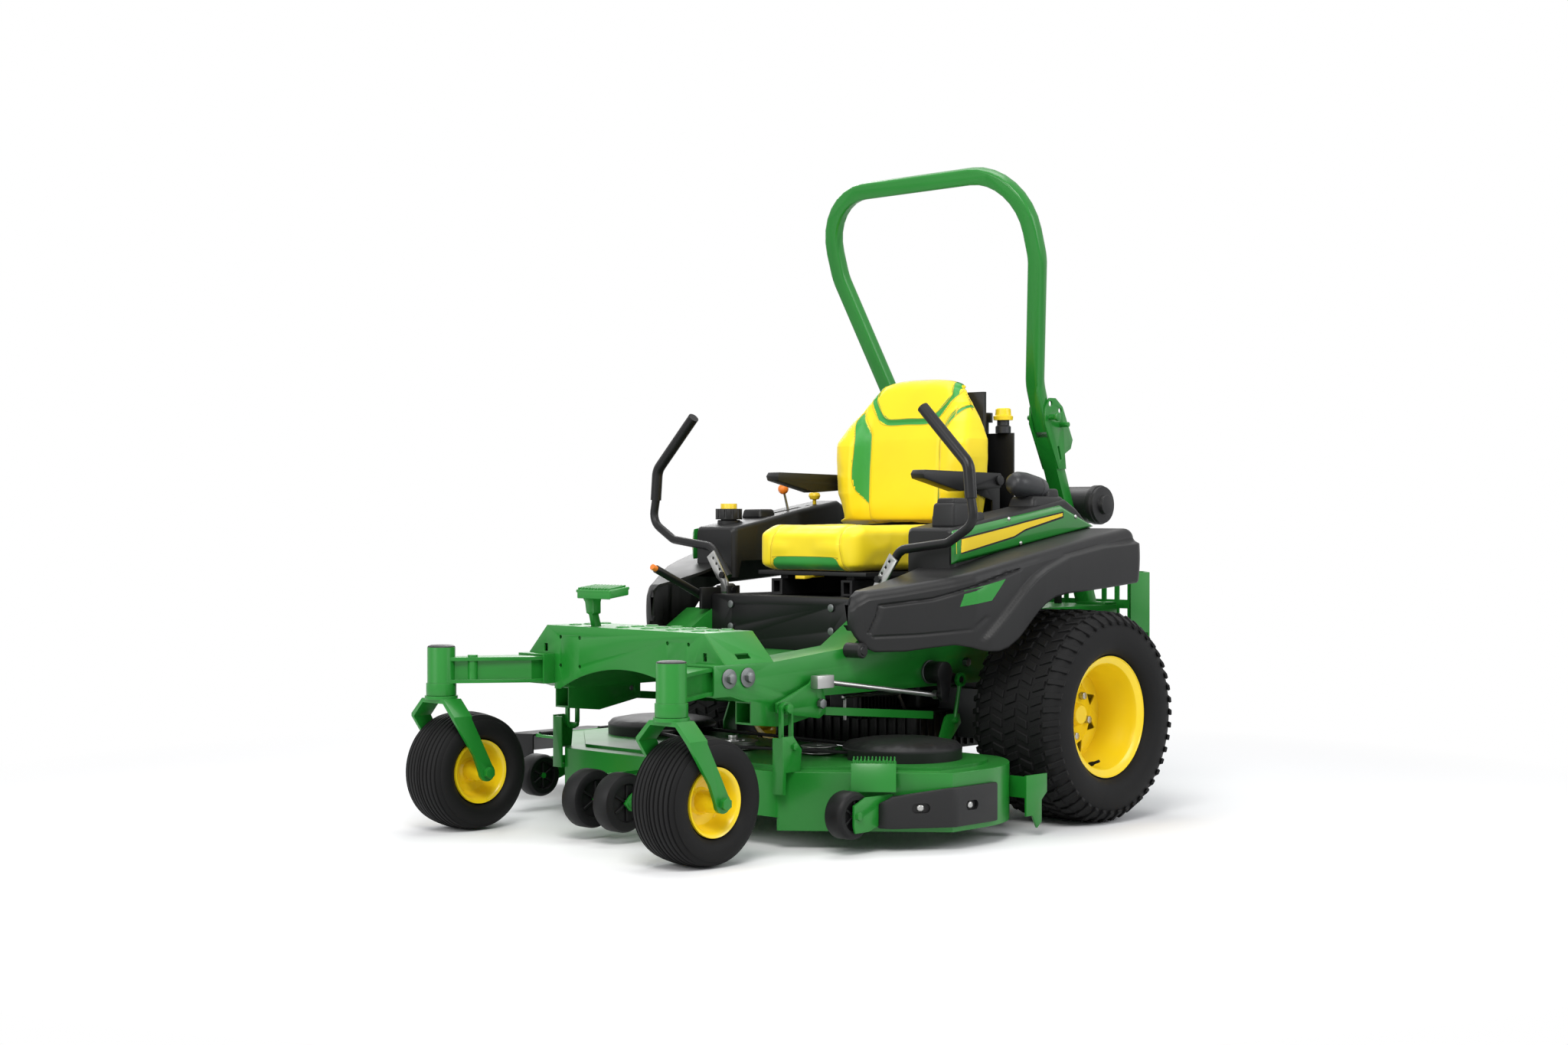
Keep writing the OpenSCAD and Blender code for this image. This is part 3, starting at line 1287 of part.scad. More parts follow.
module lift_pedal() at_axle() color(green) {
  y = plate_y + 78;
  z = 536;
  difference() {
    union() {
      across_x(pedal_x - 8, pedal_x + 8) polygon([[y + 12, z - 10], [y + 12, z + 14], [y - 24, foot_z + 16],
        [y - 36, foot_z + 105], [y - 58, foot_z + 102], [y - 48, foot_z + 10], [y - 14, z - 12]]);
      bar_x(17, pedal_x - 20, pedal_x + 20, y, z);
    }
    bar_x(10 + run_gap, pedal_x - 21, pedal_x + 21, y, z);
  }
  translate([pedal_x - 66, y - 98, foot_z + 94]) rotate([8, 0, 0]) {
    cube([132, 76, 9]);
    for (i = [0 : 10])
      translate([4 + i * 12, 2, 9]) rotate([-90, 0, 0]) cylinder(r = 5, h = 72, $fn = 6);
  }
}

module pedal_mount() {
  y = plate_y + 78;
  z = 536;
  bar_x(10, pedal_x - 42, pedal_x + 42, y, z);
  for (x = [pedal_x - 34, pedal_x + 24])
    slab([x, plate_y + 32, z - 22], [x + 10, y + 14, z + 14]);
}

main_frame();
front_plate();
foot_deck();
caster_arms();
kick_panel();
frame_bolts();
seat_base();
fender_left();
fender_right();
side_panels();
rops_posts();
rear_shield();
engine_block();
engine_shroud();
air_cleaner();
transaxles();
rear_guard();
caster_fork_left();
caster_fork_right();
caster_tyre_left();
caster_tyre_right();
caster_rim_left();
caster_rim_right();
drive_tyre_left();
drive_tyre_right();
drive_rim_left();
drive_rim_right();
seat_cushion();
seat_back();
seat_shell();
armrest_left();
armrest_right();
slide_lever();
fuel_cap();
throttle_lever();
blade_knob();
height_lever();
lever_button();
control_plate_left();
control_plate_right();
lever_left();
lever_right();
rops_hoop();
deck_shell();
deck_covers();
deck_brackets();
side_bumper();
discharge_chute();
spindle_left();
spindle_center();
spindle_right();
drive_belt();
idler_pulley();
nose_rollers();
side_rollers();
rear_rollers();
lift_shaft();
front_cranks();
lift_rods();
lift_pedal();
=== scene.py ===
import json
import math

import bmesh
import bpy
from mathutils import Matrix, Vector
from mathutils.bvhtree import BVHTree


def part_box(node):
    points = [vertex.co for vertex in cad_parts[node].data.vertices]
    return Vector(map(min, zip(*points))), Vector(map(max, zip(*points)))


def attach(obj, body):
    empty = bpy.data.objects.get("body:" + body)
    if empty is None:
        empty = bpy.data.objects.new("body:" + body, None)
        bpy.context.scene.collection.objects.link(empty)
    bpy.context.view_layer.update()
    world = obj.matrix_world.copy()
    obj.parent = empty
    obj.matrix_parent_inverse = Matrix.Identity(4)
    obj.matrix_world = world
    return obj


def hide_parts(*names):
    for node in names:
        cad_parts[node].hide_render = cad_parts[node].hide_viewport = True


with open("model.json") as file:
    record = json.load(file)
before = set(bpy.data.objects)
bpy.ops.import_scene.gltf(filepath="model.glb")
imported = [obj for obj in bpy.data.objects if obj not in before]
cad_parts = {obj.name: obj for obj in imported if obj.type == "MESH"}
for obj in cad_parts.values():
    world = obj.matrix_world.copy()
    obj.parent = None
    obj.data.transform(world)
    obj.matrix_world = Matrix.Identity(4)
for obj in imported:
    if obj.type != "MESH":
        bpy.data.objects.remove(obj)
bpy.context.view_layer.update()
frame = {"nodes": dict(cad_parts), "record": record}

# ---- Viewpoint, floor and light ----
# A long lens at seat height looks at the mower's left front corner. The floor
# is matt white card that runs out to plain white, under soft studio light.

scene = bpy.context.scene
bpy.ops.object.select_all(action="DESELECT")
bpy.ops.object.camera_add(location=(4.5795, -4.666, 0.887),
                          rotation=(math.radians(89.77), 0, math.radians(44.21)))
camera = bpy.context.object
camera.name = "camera"
camera.data.lens = 50
camera.data.sensor_width = 36
scene.camera = camera
scene.view_settings.view_transform = "Standard"


def link(tree, a, out, b, into):
    tree.links.new(a.outputs[out], b.inputs[into])


def node_in(tree, kind, operation=None, **values):
    """A new shader node with its operation and its plain input values, whose names have _ for a space."""
    made = tree.nodes.new("ShaderNode" + kind)
    if operation:
        made.operation = operation
    for name, value in values.items():
        made.inputs[name.replace("_", " ")].default_value = value
    return made


world = bpy.data.worlds.new("studio")
scene.world = world
world.use_nodes = True
sky = world.node_tree
sky.nodes.clear()
ray = node_in(sky, "LightPath")
seen = node_in(sky, "Math", "MAXIMUM")
seen_or_mirrored = node_in(sky, "Math", "MAXIMUM")
room = node_in(sky, "Background", Color=(0.93, 0.95, 1.0, 1), Strength=0.44)
white = node_in(sky, "Background", Color=(1, 1, 1, 1), Strength=1.0)
choice = node_in(sky, "MixShader")
result = node_in(sky, "OutputWorld")
link(sky, ray, "Is Camera Ray", seen, 0)
link(sky, ray, "Is Transmission Ray", seen, 1)
link(sky, seen, 0, seen_or_mirrored, 0)
link(sky, ray, "Is Glossy Ray", seen_or_mirrored, 1)
link(sky, seen_or_mirrored, 0, choice, 0)
link(sky, room, 0, choice, 1)
link(sky, white, 0, choice, 2)
link(sky, choice, 0, result, 0)

bpy.ops.mesh.primitive_circle_add(vertices=96, radius=14, fill_type="NGON", location=(0, 0, 0))
floor = bpy.context.object
floor.name = "floor"
card = bpy.data.materials.new("white_card")
card.use_nodes = True
tree = card.node_tree
shade = tree.nodes["Principled BSDF"]
shade.inputs["Base Color"].default_value = (0.86, 0.86, 0.86, 1)
shade.inputs["Roughness"].default_value = 0.9
shade.inputs["Specular IOR Level"].default_value = 0.1
place = node_in(tree, "TexCoord")
far = node_in(tree, "VectorMath", "LENGTH")
fade = node_in(tree, "MapRange", From_Min=1.7, From_Max=3.0)
ray = node_in(tree, "LightPath")
both = node_in(tree, "Math", "MULTIPLY")
glow = node_in(tree, "Emission", Color=(1, 1, 1, 1))
mix = node_in(tree, "MixShader")
link(tree, place, "Object", far, 0)
link(tree, far, "Value", fade, "Value")
link(tree, fade, 0, both, 0)
link(tree, ray, "Is Camera Ray", both, 1)
link(tree, both, 0, mix, 0)
link(tree, shade, 0, mix, 1)
link(tree, glow, 0, mix, 2)
link(tree, mix, 0, tree.nodes["Material Output"], 0)
floor.data.materials.append(card)


def lamp(name, place, aim, size, power, colour):
    bpy.ops.object.light_add(type="AREA", location=place)
    one = bpy.context.object
    one.name = name
    one.data.shape = "RECTANGLE"
    one.data.size = size[0]
    one.data.size_y = size[1]
    one.data.energy = power
    one.data.color = colour
    one.rotation_euler = (Vector(aim) - Vector(place)).to_track_quat("-Z", "Y").to_euler()


lamp("key_lamp", (2.6, -3.2, 4.2), (0, -0.1, 0.5), (2.2, 2.2), 165, (1, 0.99, 0.97))
lamp("side_lamp", (4.6, 1.6, 2.6), (0.2, 0, 0.6), (2.0, 2.0), 70, (0.97, 0.98, 1))
lamp("front_lamp", (-0.6, -5.2, 2.4), (0.1, 0, 0.5), (2.4, 2.0), 85, (1, 1, 1))
lamp("top_lamp", (-0.4, 0.6, 5.2), (0, 0, 0.4), (3.0, 3.0), 105, (1, 1, 1))
lamp("back_lamp", (-3.6, 2.6, 3.0), (0, 0, 0.9), (2.0, 2.0), 60, (1, 1, 1))

# ---- Painted frame ----
# Rails of folded plate, bolted and welded to the front plate, foot platform,
# caster arms, hoop posts and rear guard, all powder coated in gloss green.


def at(x, y, z):
    """A point given in millimetres from the ground midway between the drive wheels."""
    return Vector((x / 1000 + 0.1245, y / 1000 + 0.454, z / 1000))


weld_gap = 0.00002


def alone(piece):
    bpy.ops.object.select_all(action="DESELECT")
    piece.select_set(True)
    bpy.context.view_layer.objects.active = piece


def bevelled(piece, width, segments, angle=30):
    """Rounds the edges that turn by more than the angle."""
    edge = piece.modifiers.new("edge", "BEVEL")
    edge.width = width
    edge.segments = segments
    edge.limit_method = "ANGLE"
    edge.angle_limit = math.radians(angle)
    alone(piece)
    bpy.ops.object.modifier_apply(modifier=edge.name)


body_of = {n: b for b, nodes in frame["record"]["behaviour"]["bodies"].items() for n in nodes}


def surface_group():
    """Slow colour drift, fine grain and settled dust, shared by all the hard finishes."""
    group = bpy.data.node_groups.new("surface", "ShaderNodeTree")
    for name, kind, value in [
        ("Colour", "NodeSocketColor", (0.5, 0.5, 0.5, 1)),
        ("Drift", "NodeSocketFloat", 0.1),
        ("Roughness", "NodeSocketFloat", 0.4),
        ("Roughness Drift", "NodeSocketFloat", 0.08),
        ("Grain Scale", "NodeSocketFloat", 900.0),
        ("Dust", "NodeSocketFloat", 0.05),
    ]:
        socket = group.interface.new_socket(name, in_out="INPUT", socket_type=kind)
        socket.default_value = value
    group.interface.new_socket("Colour", in_out="OUTPUT", socket_type="NodeSocketColor")
    group.interface.new_socket("Roughness", in_out="OUTPUT", socket_type="NodeSocketFloat")
    group.interface.new_socket("Height", in_out="OUTPUT", socket_type="NodeSocketFloat")
    given, made = group.nodes.new("NodeGroupInput"), group.nodes.new("NodeGroupOutput")
    place = node_in(group, "TexCoord")
    slow = node_in(group, "TexNoise", Scale=4.5, Detail=5)
    link(group, place, "Object", slow, "Vector")
    grain = node_in(group, "TexNoise", Detail=3)
    link(group, place, "Object", grain, "Vector")
    link(group, given, "Grain Scale", grain, "Scale")
    spread = node_in(group, "MapRange", From_Min=0.3, From_Max=0.7, To_Min=-1)
    link(group, slow, "Fac", spread, "Value")
    shift = node_in(group, "Math", "MULTIPLY_ADD")
    shift.inputs[2].default_value = 1
    link(group, spread, 0, shift, 0)
    link(group, given, "Drift", shift, 1)
    tint = node_in(group, "VectorMath", "SCALE")
    link(group, given, "Colour", tint, 0)
    link(group, shift, 0, tint, "Scale")
    facing = node_in(group, "NewGeometry")
    split = node_in(group, "SeparateXYZ")
    link(group, facing, "Normal", split, 0)
    lying = node_in(group, "MapRange", From_Min=0.75)
    link(group, split, "Z", lying, "Value")
    patch = node_in(group, "Math", "MULTIPLY")
    link(group, lying, 0, patch, 0)
    link(group, slow, "Fac", patch, 1)
    dusty = node_in(group, "Math", "MULTIPLY")
    link(group, patch, 0, dusty, 0)
    link(group, given, "Dust", dusty, 1)
    blend = group.nodes.new("ShaderNodeMix")
    blend.data_type = "RGBA"
    blend.inputs["B"].default_value = (0.42, 0.40, 0.36, 1)
    link(group, dusty, 0, blend, "Factor")
    link(group, tint, 0, blend, "A")
    link(group, blend, "Result", made, "Colour")
    rough = node_in(group, "Math", "MULTIPLY_ADD")
    link(group, spread, 0, rough, 0)
    link(group, given, "Roughness Drift", rough, 1)
    link(group, given, "Roughness", rough, 2)
    dull = node_in(group, "Math", "ADD")
    dull.use_clamp = True
    link(group, rough, 0, dull, 0)
    link(group, dusty, 0, dull, 1)
    link(group, dull, 0, made, "Roughness")
    link(group, grain, "Fac", made, "Height")
    return group


surface = surface_group()


def surfaced(name, colour, **values):
    """A new material on the surface group, with its tree, its shader and the placed group."""
    made = bpy.data.materials.new(name)
    made.use_nodes = True
    tree = made.node_tree
    shader = tree.nodes["Principled BSDF"]
    group = tree.nodes.new("ShaderNodeGroup")
    group.node_tree = surface
    group.inputs["Colour"].default_value = (*colour, 1)
    for key, value in values.items():
        group.inputs[key.replace("_", " ")].default_value = value
    link(tree, group, "Colour", shader, "Base Color")
    link(tree, group, "Roughness", shader, "Roughness")
    return made, tree, shader, group


def finish(name, colour, roughness, drift=0.08, grain=900.0, depth=0.00004, strength=0.25, dust=0.05,
           **plain):
    """A hard finish: the surface group around a Principled shader whose plain values are given by name."""
    made, tree, shader, group = surfaced(name, colour, Drift=drift, Roughness=roughness, Roughness_Drift=0.06,
                                         Grain_Scale=grain, Dust=dust)
    for key, value in plain.items():
        shader.inputs[key.replace("_", " ").title().replace("Ior", "IOR")].default_value = value
    bump = node_in(tree, "Bump", Strength=strength, Distance=depth)
    link(tree, group, "Height", bump, "Height")
    link(tree, bump, 0, shader, "Normal")
    return made


green_paint = finish("green_powder_coat", (0.010, 0.185, 0.018), 0.34, drift=0.05, coat_weight=0.15,
                     coat_roughness=0.12, specular_ior_level=0.35)


def dressed(node, material, width=0.0015, angle=38, segments=2):
    """A copy of a CAD piece with its edges broken, in its finish, in place of the bare solid."""
    source = frame["nodes"][node]
    piece = source.copy()
    piece.data = source.data.copy()
    piece.name = node + "_finished"
    piece.parent = None
    for key in list(piece.keys()):
        del piece[key]
    scene.collection.objects.link(piece)
    alone(piece)
    bpy.ops.object.mode_set(mode="EDIT")
    bpy.ops.mesh.select_all(action="SELECT")
    bpy.ops.mesh.remove_doubles(threshold=weld_gap)
    bpy.ops.mesh.dissolve_limited(angle_limit=math.radians(1.2))
    bpy.ops.object.mode_set(mode="OBJECT")
    if width:
        bevelled(piece, width, segments, angle)
    bpy.ops.object.shade_smooth_by_angle(angle=math.radians(36))
    piece.data.materials.clear()
    piece.data.materials.append(material)
    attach(piece, body_of[node])
    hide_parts(node)
    return piece


for node in ["main_frame", "front_plate", "foot_deck", "rops_posts", "rear_guard"]:
    dressed(node, green_paint)
for node in ["caster_arms", "caster_fork_left", "caster_fork_right"]:
    dressed(node, green_paint, 0.003, segments=3)
dressed("rops_hoop", green_paint, 0)
for node in ["deck_brackets", "front_cranks"]:
    dressed(node, green_paint)
deck = dressed("deck_shell", green_paint, 0)
alone(deck)
bpy.ops.object.mode_set(mode="EDIT")
bpy.ops.mesh.select_all(action="DESELECT")
top_edge_z = 0.205
skin = bmesh.from_edit_mesh(deck.data)
for edge in skin.edges:
    if len(edge.link_faces) == 2 and all(abs(v.co.z - top_edge_z) < 0.0004 for v in edge.verts):
        ups = [face.normal.z for face in edge.link_faces]
        if max(ups) > 0.95 and min(ups) > -0.2 and min(ups) < 0.2:
            flat = [face for face in edge.link_faces if face.normal.z < 0.5][0]
            if min(v.co.z for v in flat.verts) < 0.17:
                edge.select = True
bmesh.update_edit_mesh(deck.data)
bpy.ops.mesh.bevel(offset=0.016, segments=5, clamp_overlap=True)
bpy.ops.object.mode_set(mode="OBJECT")
bpy.ops.object.shade_smooth_by_angle(angle=math.radians(36))

black_paint = finish("black_satin_coat", (0.006, 0.006, 0.0064), 0.4, specular_ior_level=0.28)
black_plastic = finish("black_moulded", (0.0105, 0.0106, 0.011), 0.46, grain=2600, depth=0.0001,
                       strength=0.35, dust=0.02, specular_ior_level=0.3)
for node in ["kick_panel", "seat_base", "rear_shield", "height_lever", "lift_shaft"]:
    dressed(node, black_paint)
for node in ["lever_left", "lever_right"]:
    dressed(node, black_paint, 0)
for node in ["engine_shroud", "air_cleaner", "armrest_left", "armrest_right", "seat_shell", "deck_covers"]:
    dressed(node, black_plastic, 0.002)
zinc = finish("zinc_plate", (0.42, 0.42, 0.41), 0.34, grain=1400, metallic=0.9, dust=0.02)
grey_zinc = finish("grey_zinc", (0.17, 0.18, 0.18), 0.4, grain=1400, metallic=0.8, dust=0.02)
dressed("frame_bolts", grey_zinc)
for node in ["control_plate_left", "control_plate_right", "spindle_left", "spindle_center", "spindle_right",
             "idler_pulley", "lift_rods"]:
    dressed(node, zinc, 0.0006)
cast = finish("cast_alloy", (0.16, 0.16, 0.165), 0.55, grain=700, depth=0.0002, strength=0.5, metallic=0.6)
for node in ["engine_block", "transaxles"]:
    dressed(node, cast, 0.0015)

# ---- Tyres ----
# Rubber tyres mounted on steel rims. The drive tyres carry rows of slanted turf
# blocks with grooved shoulders, the casters plain ribs round the tread.

tyre_rubber = finish("tyre_compound", (0.0055, 0.0055, 0.0057), 0.66, grain=1800, depth=0.0001, strength=0.3,
                     dust=0.02, specular_ior_level=0.18)
sides = (("left", 1), ("right", -1))
origin = Vector((0, 0, 0))


def mounted(piece, node, material, angle=34, stands_in=False):
    """Finishes a new piece and fixes it to the node's body. It may stand in for the node."""
    alone(piece)
    bpy.ops.object.shade_smooth_by_angle(angle=math.radians(angle))
    piece.data.materials.clear()
    piece.data.materials.append(material)
    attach(piece, body_of[node])
    if stands_in:
        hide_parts(node)


def turned(name, profile, centre, steps):
    """A closed profile of (x, radius) pairs in metres, spun round the X axis through the centre."""
    data = bpy.data.meshes.new(name)
    piece = bpy.data.objects.new(name, data)
    scene.collection.objects.link(piece)
    points = [(centre[0] + x, centre[1], centre[2] + r) for x, r in profile]
    data.from_pydata(points, [(i, (i + 1) % len(points)) for i in range(len(points))], [])
    alone(piece)
    bpy.ops.object.mode_set(mode="EDIT")
    bpy.ops.mesh.select_all(action="SELECT")
    bpy.ops.mesh.spin(steps=steps, angle=math.tau, center=centre, axis=(1, 0, 0))
    bpy.ops.mesh.select_all(action="SELECT")
    bpy.ops.mesh.remove_doubles(threshold=weld_gap)
    bpy.ops.mesh.normals_make_consistent(inside=False)
    bpy.ops.object.mode_set(mode="OBJECT")
    return piece


def centre_of(node):
    low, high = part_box(node)
    return (low + high) / 2


def shifted(by):
    return Matrix.Translation(by)


def about(axis, degrees):
    return Matrix.Rotation(math.radians(degrees), 4, axis)


def both_ways(half):
    return half + [(-x, r) for x, r in reversed(half)]


def join_copies(target, model, places):
    """Puts a copy of a small shape's mesh into the target at each place."""
    work = bmesh.new()
    work.from_mesh(target.data)
    for place in places:
        before = len(work.verts)
        work.from_mesh(model.data)
        work.verts.ensure_lookup_table()
        for vertex in work.verts[before:]:
            vertex.co = place @ vertex.co
    work.to_mesh(target.data)
    work.free()


def block(size, slant, taper):
    """One tread block lying on XY with its top up Z, sheared along Y and narrower at the top."""
    bpy.ops.object.select_all(action="DESELECT")
    bpy.ops.mesh.primitive_cube_add(size=1)
    one = bpy.context.object
    for vertex in one.data.vertices:
        x, y, z = vertex.co
        k = taper if z > 0 else 1
        vertex.co = (x * size[0] * k, y * size[1] * k + x * size[0] * slant, z * size[2])
    bevelled(one, 0.0012, 1)
    return one


drive_radius = 0.305
carcass = both_ways([(0.115, 0.166), (0.116, 0.1765), (0.124, 0.179), (0.135, 0.184), (0.147, 0.198),
                     (0.1525, 0.222), (0.1515, 0.246), (0.1475, 0.262), (0.142, 0.276), (0.132, 0.287),
                     (0.116, 0.294), (0.09, 0.297), (0.045, 0.2985)])
tread_block = block((0.040, 0.025, 0.010), 0.35, 0.86)
tread_block_back = block((0.040, 0.025, 0.010), -0.35, 0.86)
shoulder_bar = block((0.052, 0.017, 0.008), 0.12, 0.88)
for side, turn in sides:
    centre = centre_of("drive_tyre_" + side)
    piece = turned("drive_tyre_" + side + "_treaded", carcass, centre, 144)
    rounds = 46
    places = {0: [], 1: []}
    for i in range(rounds):
        for column in range(5):
            angle = math.tau * (i + 0.5 * (column % 2)) / rounds
            spot = shifted(((column - 2) * 0.0445, 0,
                                       drive_radius - 0.0052 - 0.0012 * abs(column - 2)))
            places[column % 2].append(shifted(centre) @ Matrix.Rotation(angle, 4, "X") @ spot)
    join_copies(piece, tread_block, places[0])
    join_copies(piece, tread_block_back, places[1])
    bars = []
    for i in range(rounds):
        for end in (-1, 1):
            angle = math.tau * (i + 0.25 + 0.25 * end) / rounds
            lean = shifted((end * 0.1335, 0, drive_radius - 0.0205)) @ about("Y", end * 38)
            bars.append(shifted(centre) @ Matrix.Rotation(angle, 4, "X") @ lean)
    join_copies(piece, shoulder_bar, bars)
    mounted(piece, "drive_tyre_" + side, tyre_rubber, 30, stands_in=True)
for one in (tread_block, tread_block_back, shoulder_bar):
    bpy.data.objects.remove(one)

ribs = [(0.059, 0.0772), (0.059, 0.091), (0.071, 0.096), (0.080, 0.106), (0.0838, 0.120), (0.0825, 0.134),
        (0.0785, 0.1455), (0.0765, 0.1455), (0.0745, 0.1435), (0.0725, 0.1500)]
for place in (0.0650, 0.0500, 0.0345, 0.0190, 0.0045):
    crown = 0.1650 - 1.6 * place * place
    ribs += [(place + 0.0030, crown - 0.0008), (place + 0.0018, crown - 0.0068),
             (place - 0.0012, crown - 0.0068), (place - 0.0024, crown)]
for side in ("left", "right"):
    centre = centre_of("caster_tyre_" + side)
    piece = turned("caster_tyre_" + side + "_ribbed", both_ways(ribs), centre, 96)
    bevelled(piece, 0.0008, 2, 40)
    mounted(piece, "caster_tyre_" + side, tyre_rubber, 34, stands_in=True)

# ---- Rims ----
# Pressed steel rims in gloss yellow. The drive rims have a vented disc welded
# deep in the barrel, five lug nuts, a hub and a rubber valve stem.

yellow_paint = finish("yellow_powder_coat", (0.86, 0.62, 0.01), 0.3, drift=0.03, coat_weight=0.2,
                      coat_roughness=0.1, specular_ior_level=0.4)


def along_x(name, profile, centre, turn, steps, material, node, stands_in=True):
    """A turned steel piece whose profile runs outward along X on the left and is mirrored on the right."""
    piece = turned(name, [(turn * x, r) for x, r in profile], centre, steps)
    mounted(piece, node, material, stands_in=stands_in)


def cut_away(piece, cutter):
    """Takes the cutter's shape out of the piece."""
    cut = piece.modifiers.new("cut", "BOOLEAN")
    cut.operation = "DIFFERENCE"
    cut.solver = "EXACT"
    cut.object = cutter
    alone(piece)
    bpy.ops.object.modifier_apply(modifier=cut.name)
    bpy.data.objects.remove(cutter)


def face_outwards(piece):
    alone(piece)
    bpy.ops.object.mode_set(mode="EDIT")
    bpy.ops.mesh.select_all(action="SELECT")
    bpy.ops.mesh.normals_make_consistent(inside=False)
    bpy.ops.object.mode_set(mode="OBJECT")


flange, seat_radius, lip = 0.174, 0.152, 0.123
outer_wall = [(-lip, flange), (-lip, flange - 0.004), (-lip + 0.005, seat_radius + 0.004),
              (-0.098, seat_radius - 0.003), (-0.070, seat_radius - 0.005), (-0.055, 0.134), (0.052, 0.134),
              (0.070, seat_radius - 0.006), (0.100, seat_radius - 0.004), (lip - 0.010, seat_radius + 0.001),
              (lip - 0.004, seat_radius + 0.010), (lip - 0.002, flange - 0.003),
              (lip + 0.001, flange - 0.001)]
tread_side = [(lip + 0.001, flange + 0.0005), (lip - 0.004, flange), (lip - 0.0075, flange - 0.006),
              (lip - 0.009, seat_radius + 0.008), (lip - 0.014, seat_radius), (0.099, seat_radius),
              (0.072, seat_radius - 0.002), (0.054, 0.138), (-0.057, 0.138), (-0.072, seat_radius - 0.001),
              (-0.098, seat_radius), (-lip + 0.003, seat_radius + 0.006), (-lip + 0.003, flange)]
disc_place = -0.012
for side, turn in sides:
    centre = centre_of("drive_tyre_" + side)
    node = "drive_rim_" + side
    along_x("drive_barrel_" + side, outer_wall + tread_side, centre, turn, 96, yellow_paint, node)
    bpy.ops.object.select_all(action="DESELECT")
    bpy.ops.mesh.primitive_cylinder_add(vertices=96, radius=0.136, depth=0.005,
                                        rotation=(0, math.radians(90), 0),
                                        location=centre + Vector((turn * disc_place, 0, 0)))
    disc = bpy.context.object
    disc.name = "drive_disc_" + side
    bpy.ops.object.transform_apply(location=True, rotation=True, scale=True)
    bpy.ops.object.select_all(action="DESELECT")
    bpy.ops.mesh.primitive_cylinder_add(vertices=3, radius=0.0225, depth=0.03)
    vent = bpy.context.object
    bevelled(vent, 0.005, 3)
    vents = bpy.data.meshes.new("vents")
    cutter = bpy.data.objects.new("vents", vents)
    scene.collection.objects.link(cutter)
    places = []
    for i in range(8):
        round_axle = Matrix.Rotation(math.tau * (i + 0.5) / 8, 4, "X")
        places.append(shifted(centre + Vector((turn * disc_place, 0, 0))) @ round_axle
                      @ shifted((0, 0, 0.104)) @ about("Y", 90) @ about("Z", 90))
    join_copies(cutter, vent, places)
    cut_away(disc, cutter)
    bpy.data.objects.remove(vent)
    bevelled(disc, 0.001, 2)
    mounted(disc, node, yellow_paint, stands_in=True)
    hub_profile = [(disc_place, 0.0), (disc_place, 0.086), (disc_place + 0.006, 0.084),
                   (disc_place + 0.010, 0.078), (disc_place + 0.010, 0.040), (disc_place + 0.014, 0.034),
                   (disc_place + 0.034, 0.031), (disc_place + 0.040, 0.026), (disc_place + 0.040, 0.0)]
    along_x("drive_hub_" + side, hub_profile, centre, turn, 64, yellow_paint, node)
    axle_profile = [(-0.262, 0.0), (-0.262, 0.022), (-0.080, 0.022), (-0.078, 0.074),
                    (disc_place - 0.004, 0.074), (disc_place - 0.004, 0.0)]
    along_x("drive_axle_" + side, axle_profile, centre, turn, 48, cast, node)
    bpy.ops.object.select_all(action="DESELECT")
    bpy.ops.mesh.primitive_cylinder_add(vertices=6, radius=0.0115, depth=0.016,
                                        rotation=(0, math.radians(90), 0))
    nut = bpy.context.object
    bpy.ops.object.transform_apply(location=False, rotation=True, scale=True)
    bevelled(nut, 0.0015, 2)
    nuts = bpy.data.objects.new("lug_nuts_" + side, bpy.data.meshes.new("lug_nuts"))
    scene.collection.objects.link(nuts)
    places = []
    for i in range(5):
        round_axle = Matrix.Rotation(math.tau * (i + 0.5) / 5, 4, "X")
        places.append(shifted(centre + Vector((turn * (disc_place + 0.018), 0, 0))) @ round_axle
                      @ shifted((0, 0, 0.0635)))
    join_copies(nuts, nut, places)
    bpy.data.objects.remove(nut)
    mounted(nuts, node, zinc, 30)
    stem_profile = [(0.0, 0.0), (0.0, 0.0075), (0.012, 0.006), (0.016, 0.0042), (0.034, 0.0042),
                    (0.035, 0.0034), (0.036, 0.0)]
    stem = turned("valve_stem_" + side, stem_profile, origin, 16)
    lean = about("Y", turn * -22)
    mirror = Matrix.Diagonal((turn, 1, 1, 1))
    stem.data.transform(shifted(centre) @ about("X", -8)
                        @ shifted((turn * 0.072, 0, -0.141)) @ lean @ mirror)
    face_outwards(stem)
    mounted(stem, node, tyre_rubber, 180)

for side, turn in sides:
    centre = centre_of("caster_tyre_" + side)
    half = [(0.069, 0.089), (0.0705, 0.0885), (0.0685, 0.083), (0.064, 0.078), (0.045, 0.0715),
            (0.028, 0.068), (0.018, 0.060), (0.016, 0.036), (0.022, 0.029), (0.060, 0.027), (0.086, 0.024),
            (0.087, 0.0102)]
    along_x("caster_rim_" + side + "_pressed", [(0.064, 0.0895)] + half + [(-x, r) for x, r in reversed(half)]
            + [(-0.064, 0.0895), (-0.059, 0.081), (-0.040, 0.0755), (0.040, 0.0755), (0.059, 0.081)],
            centre, turn, 72, yellow_paint, "caster_rim_" + side)

# ---- Seat ----
# Foam cushion and backrest under stitched vinyl, yellow with green inserts.
# Each is blown up a little under its cover, then creased where it is sewn.


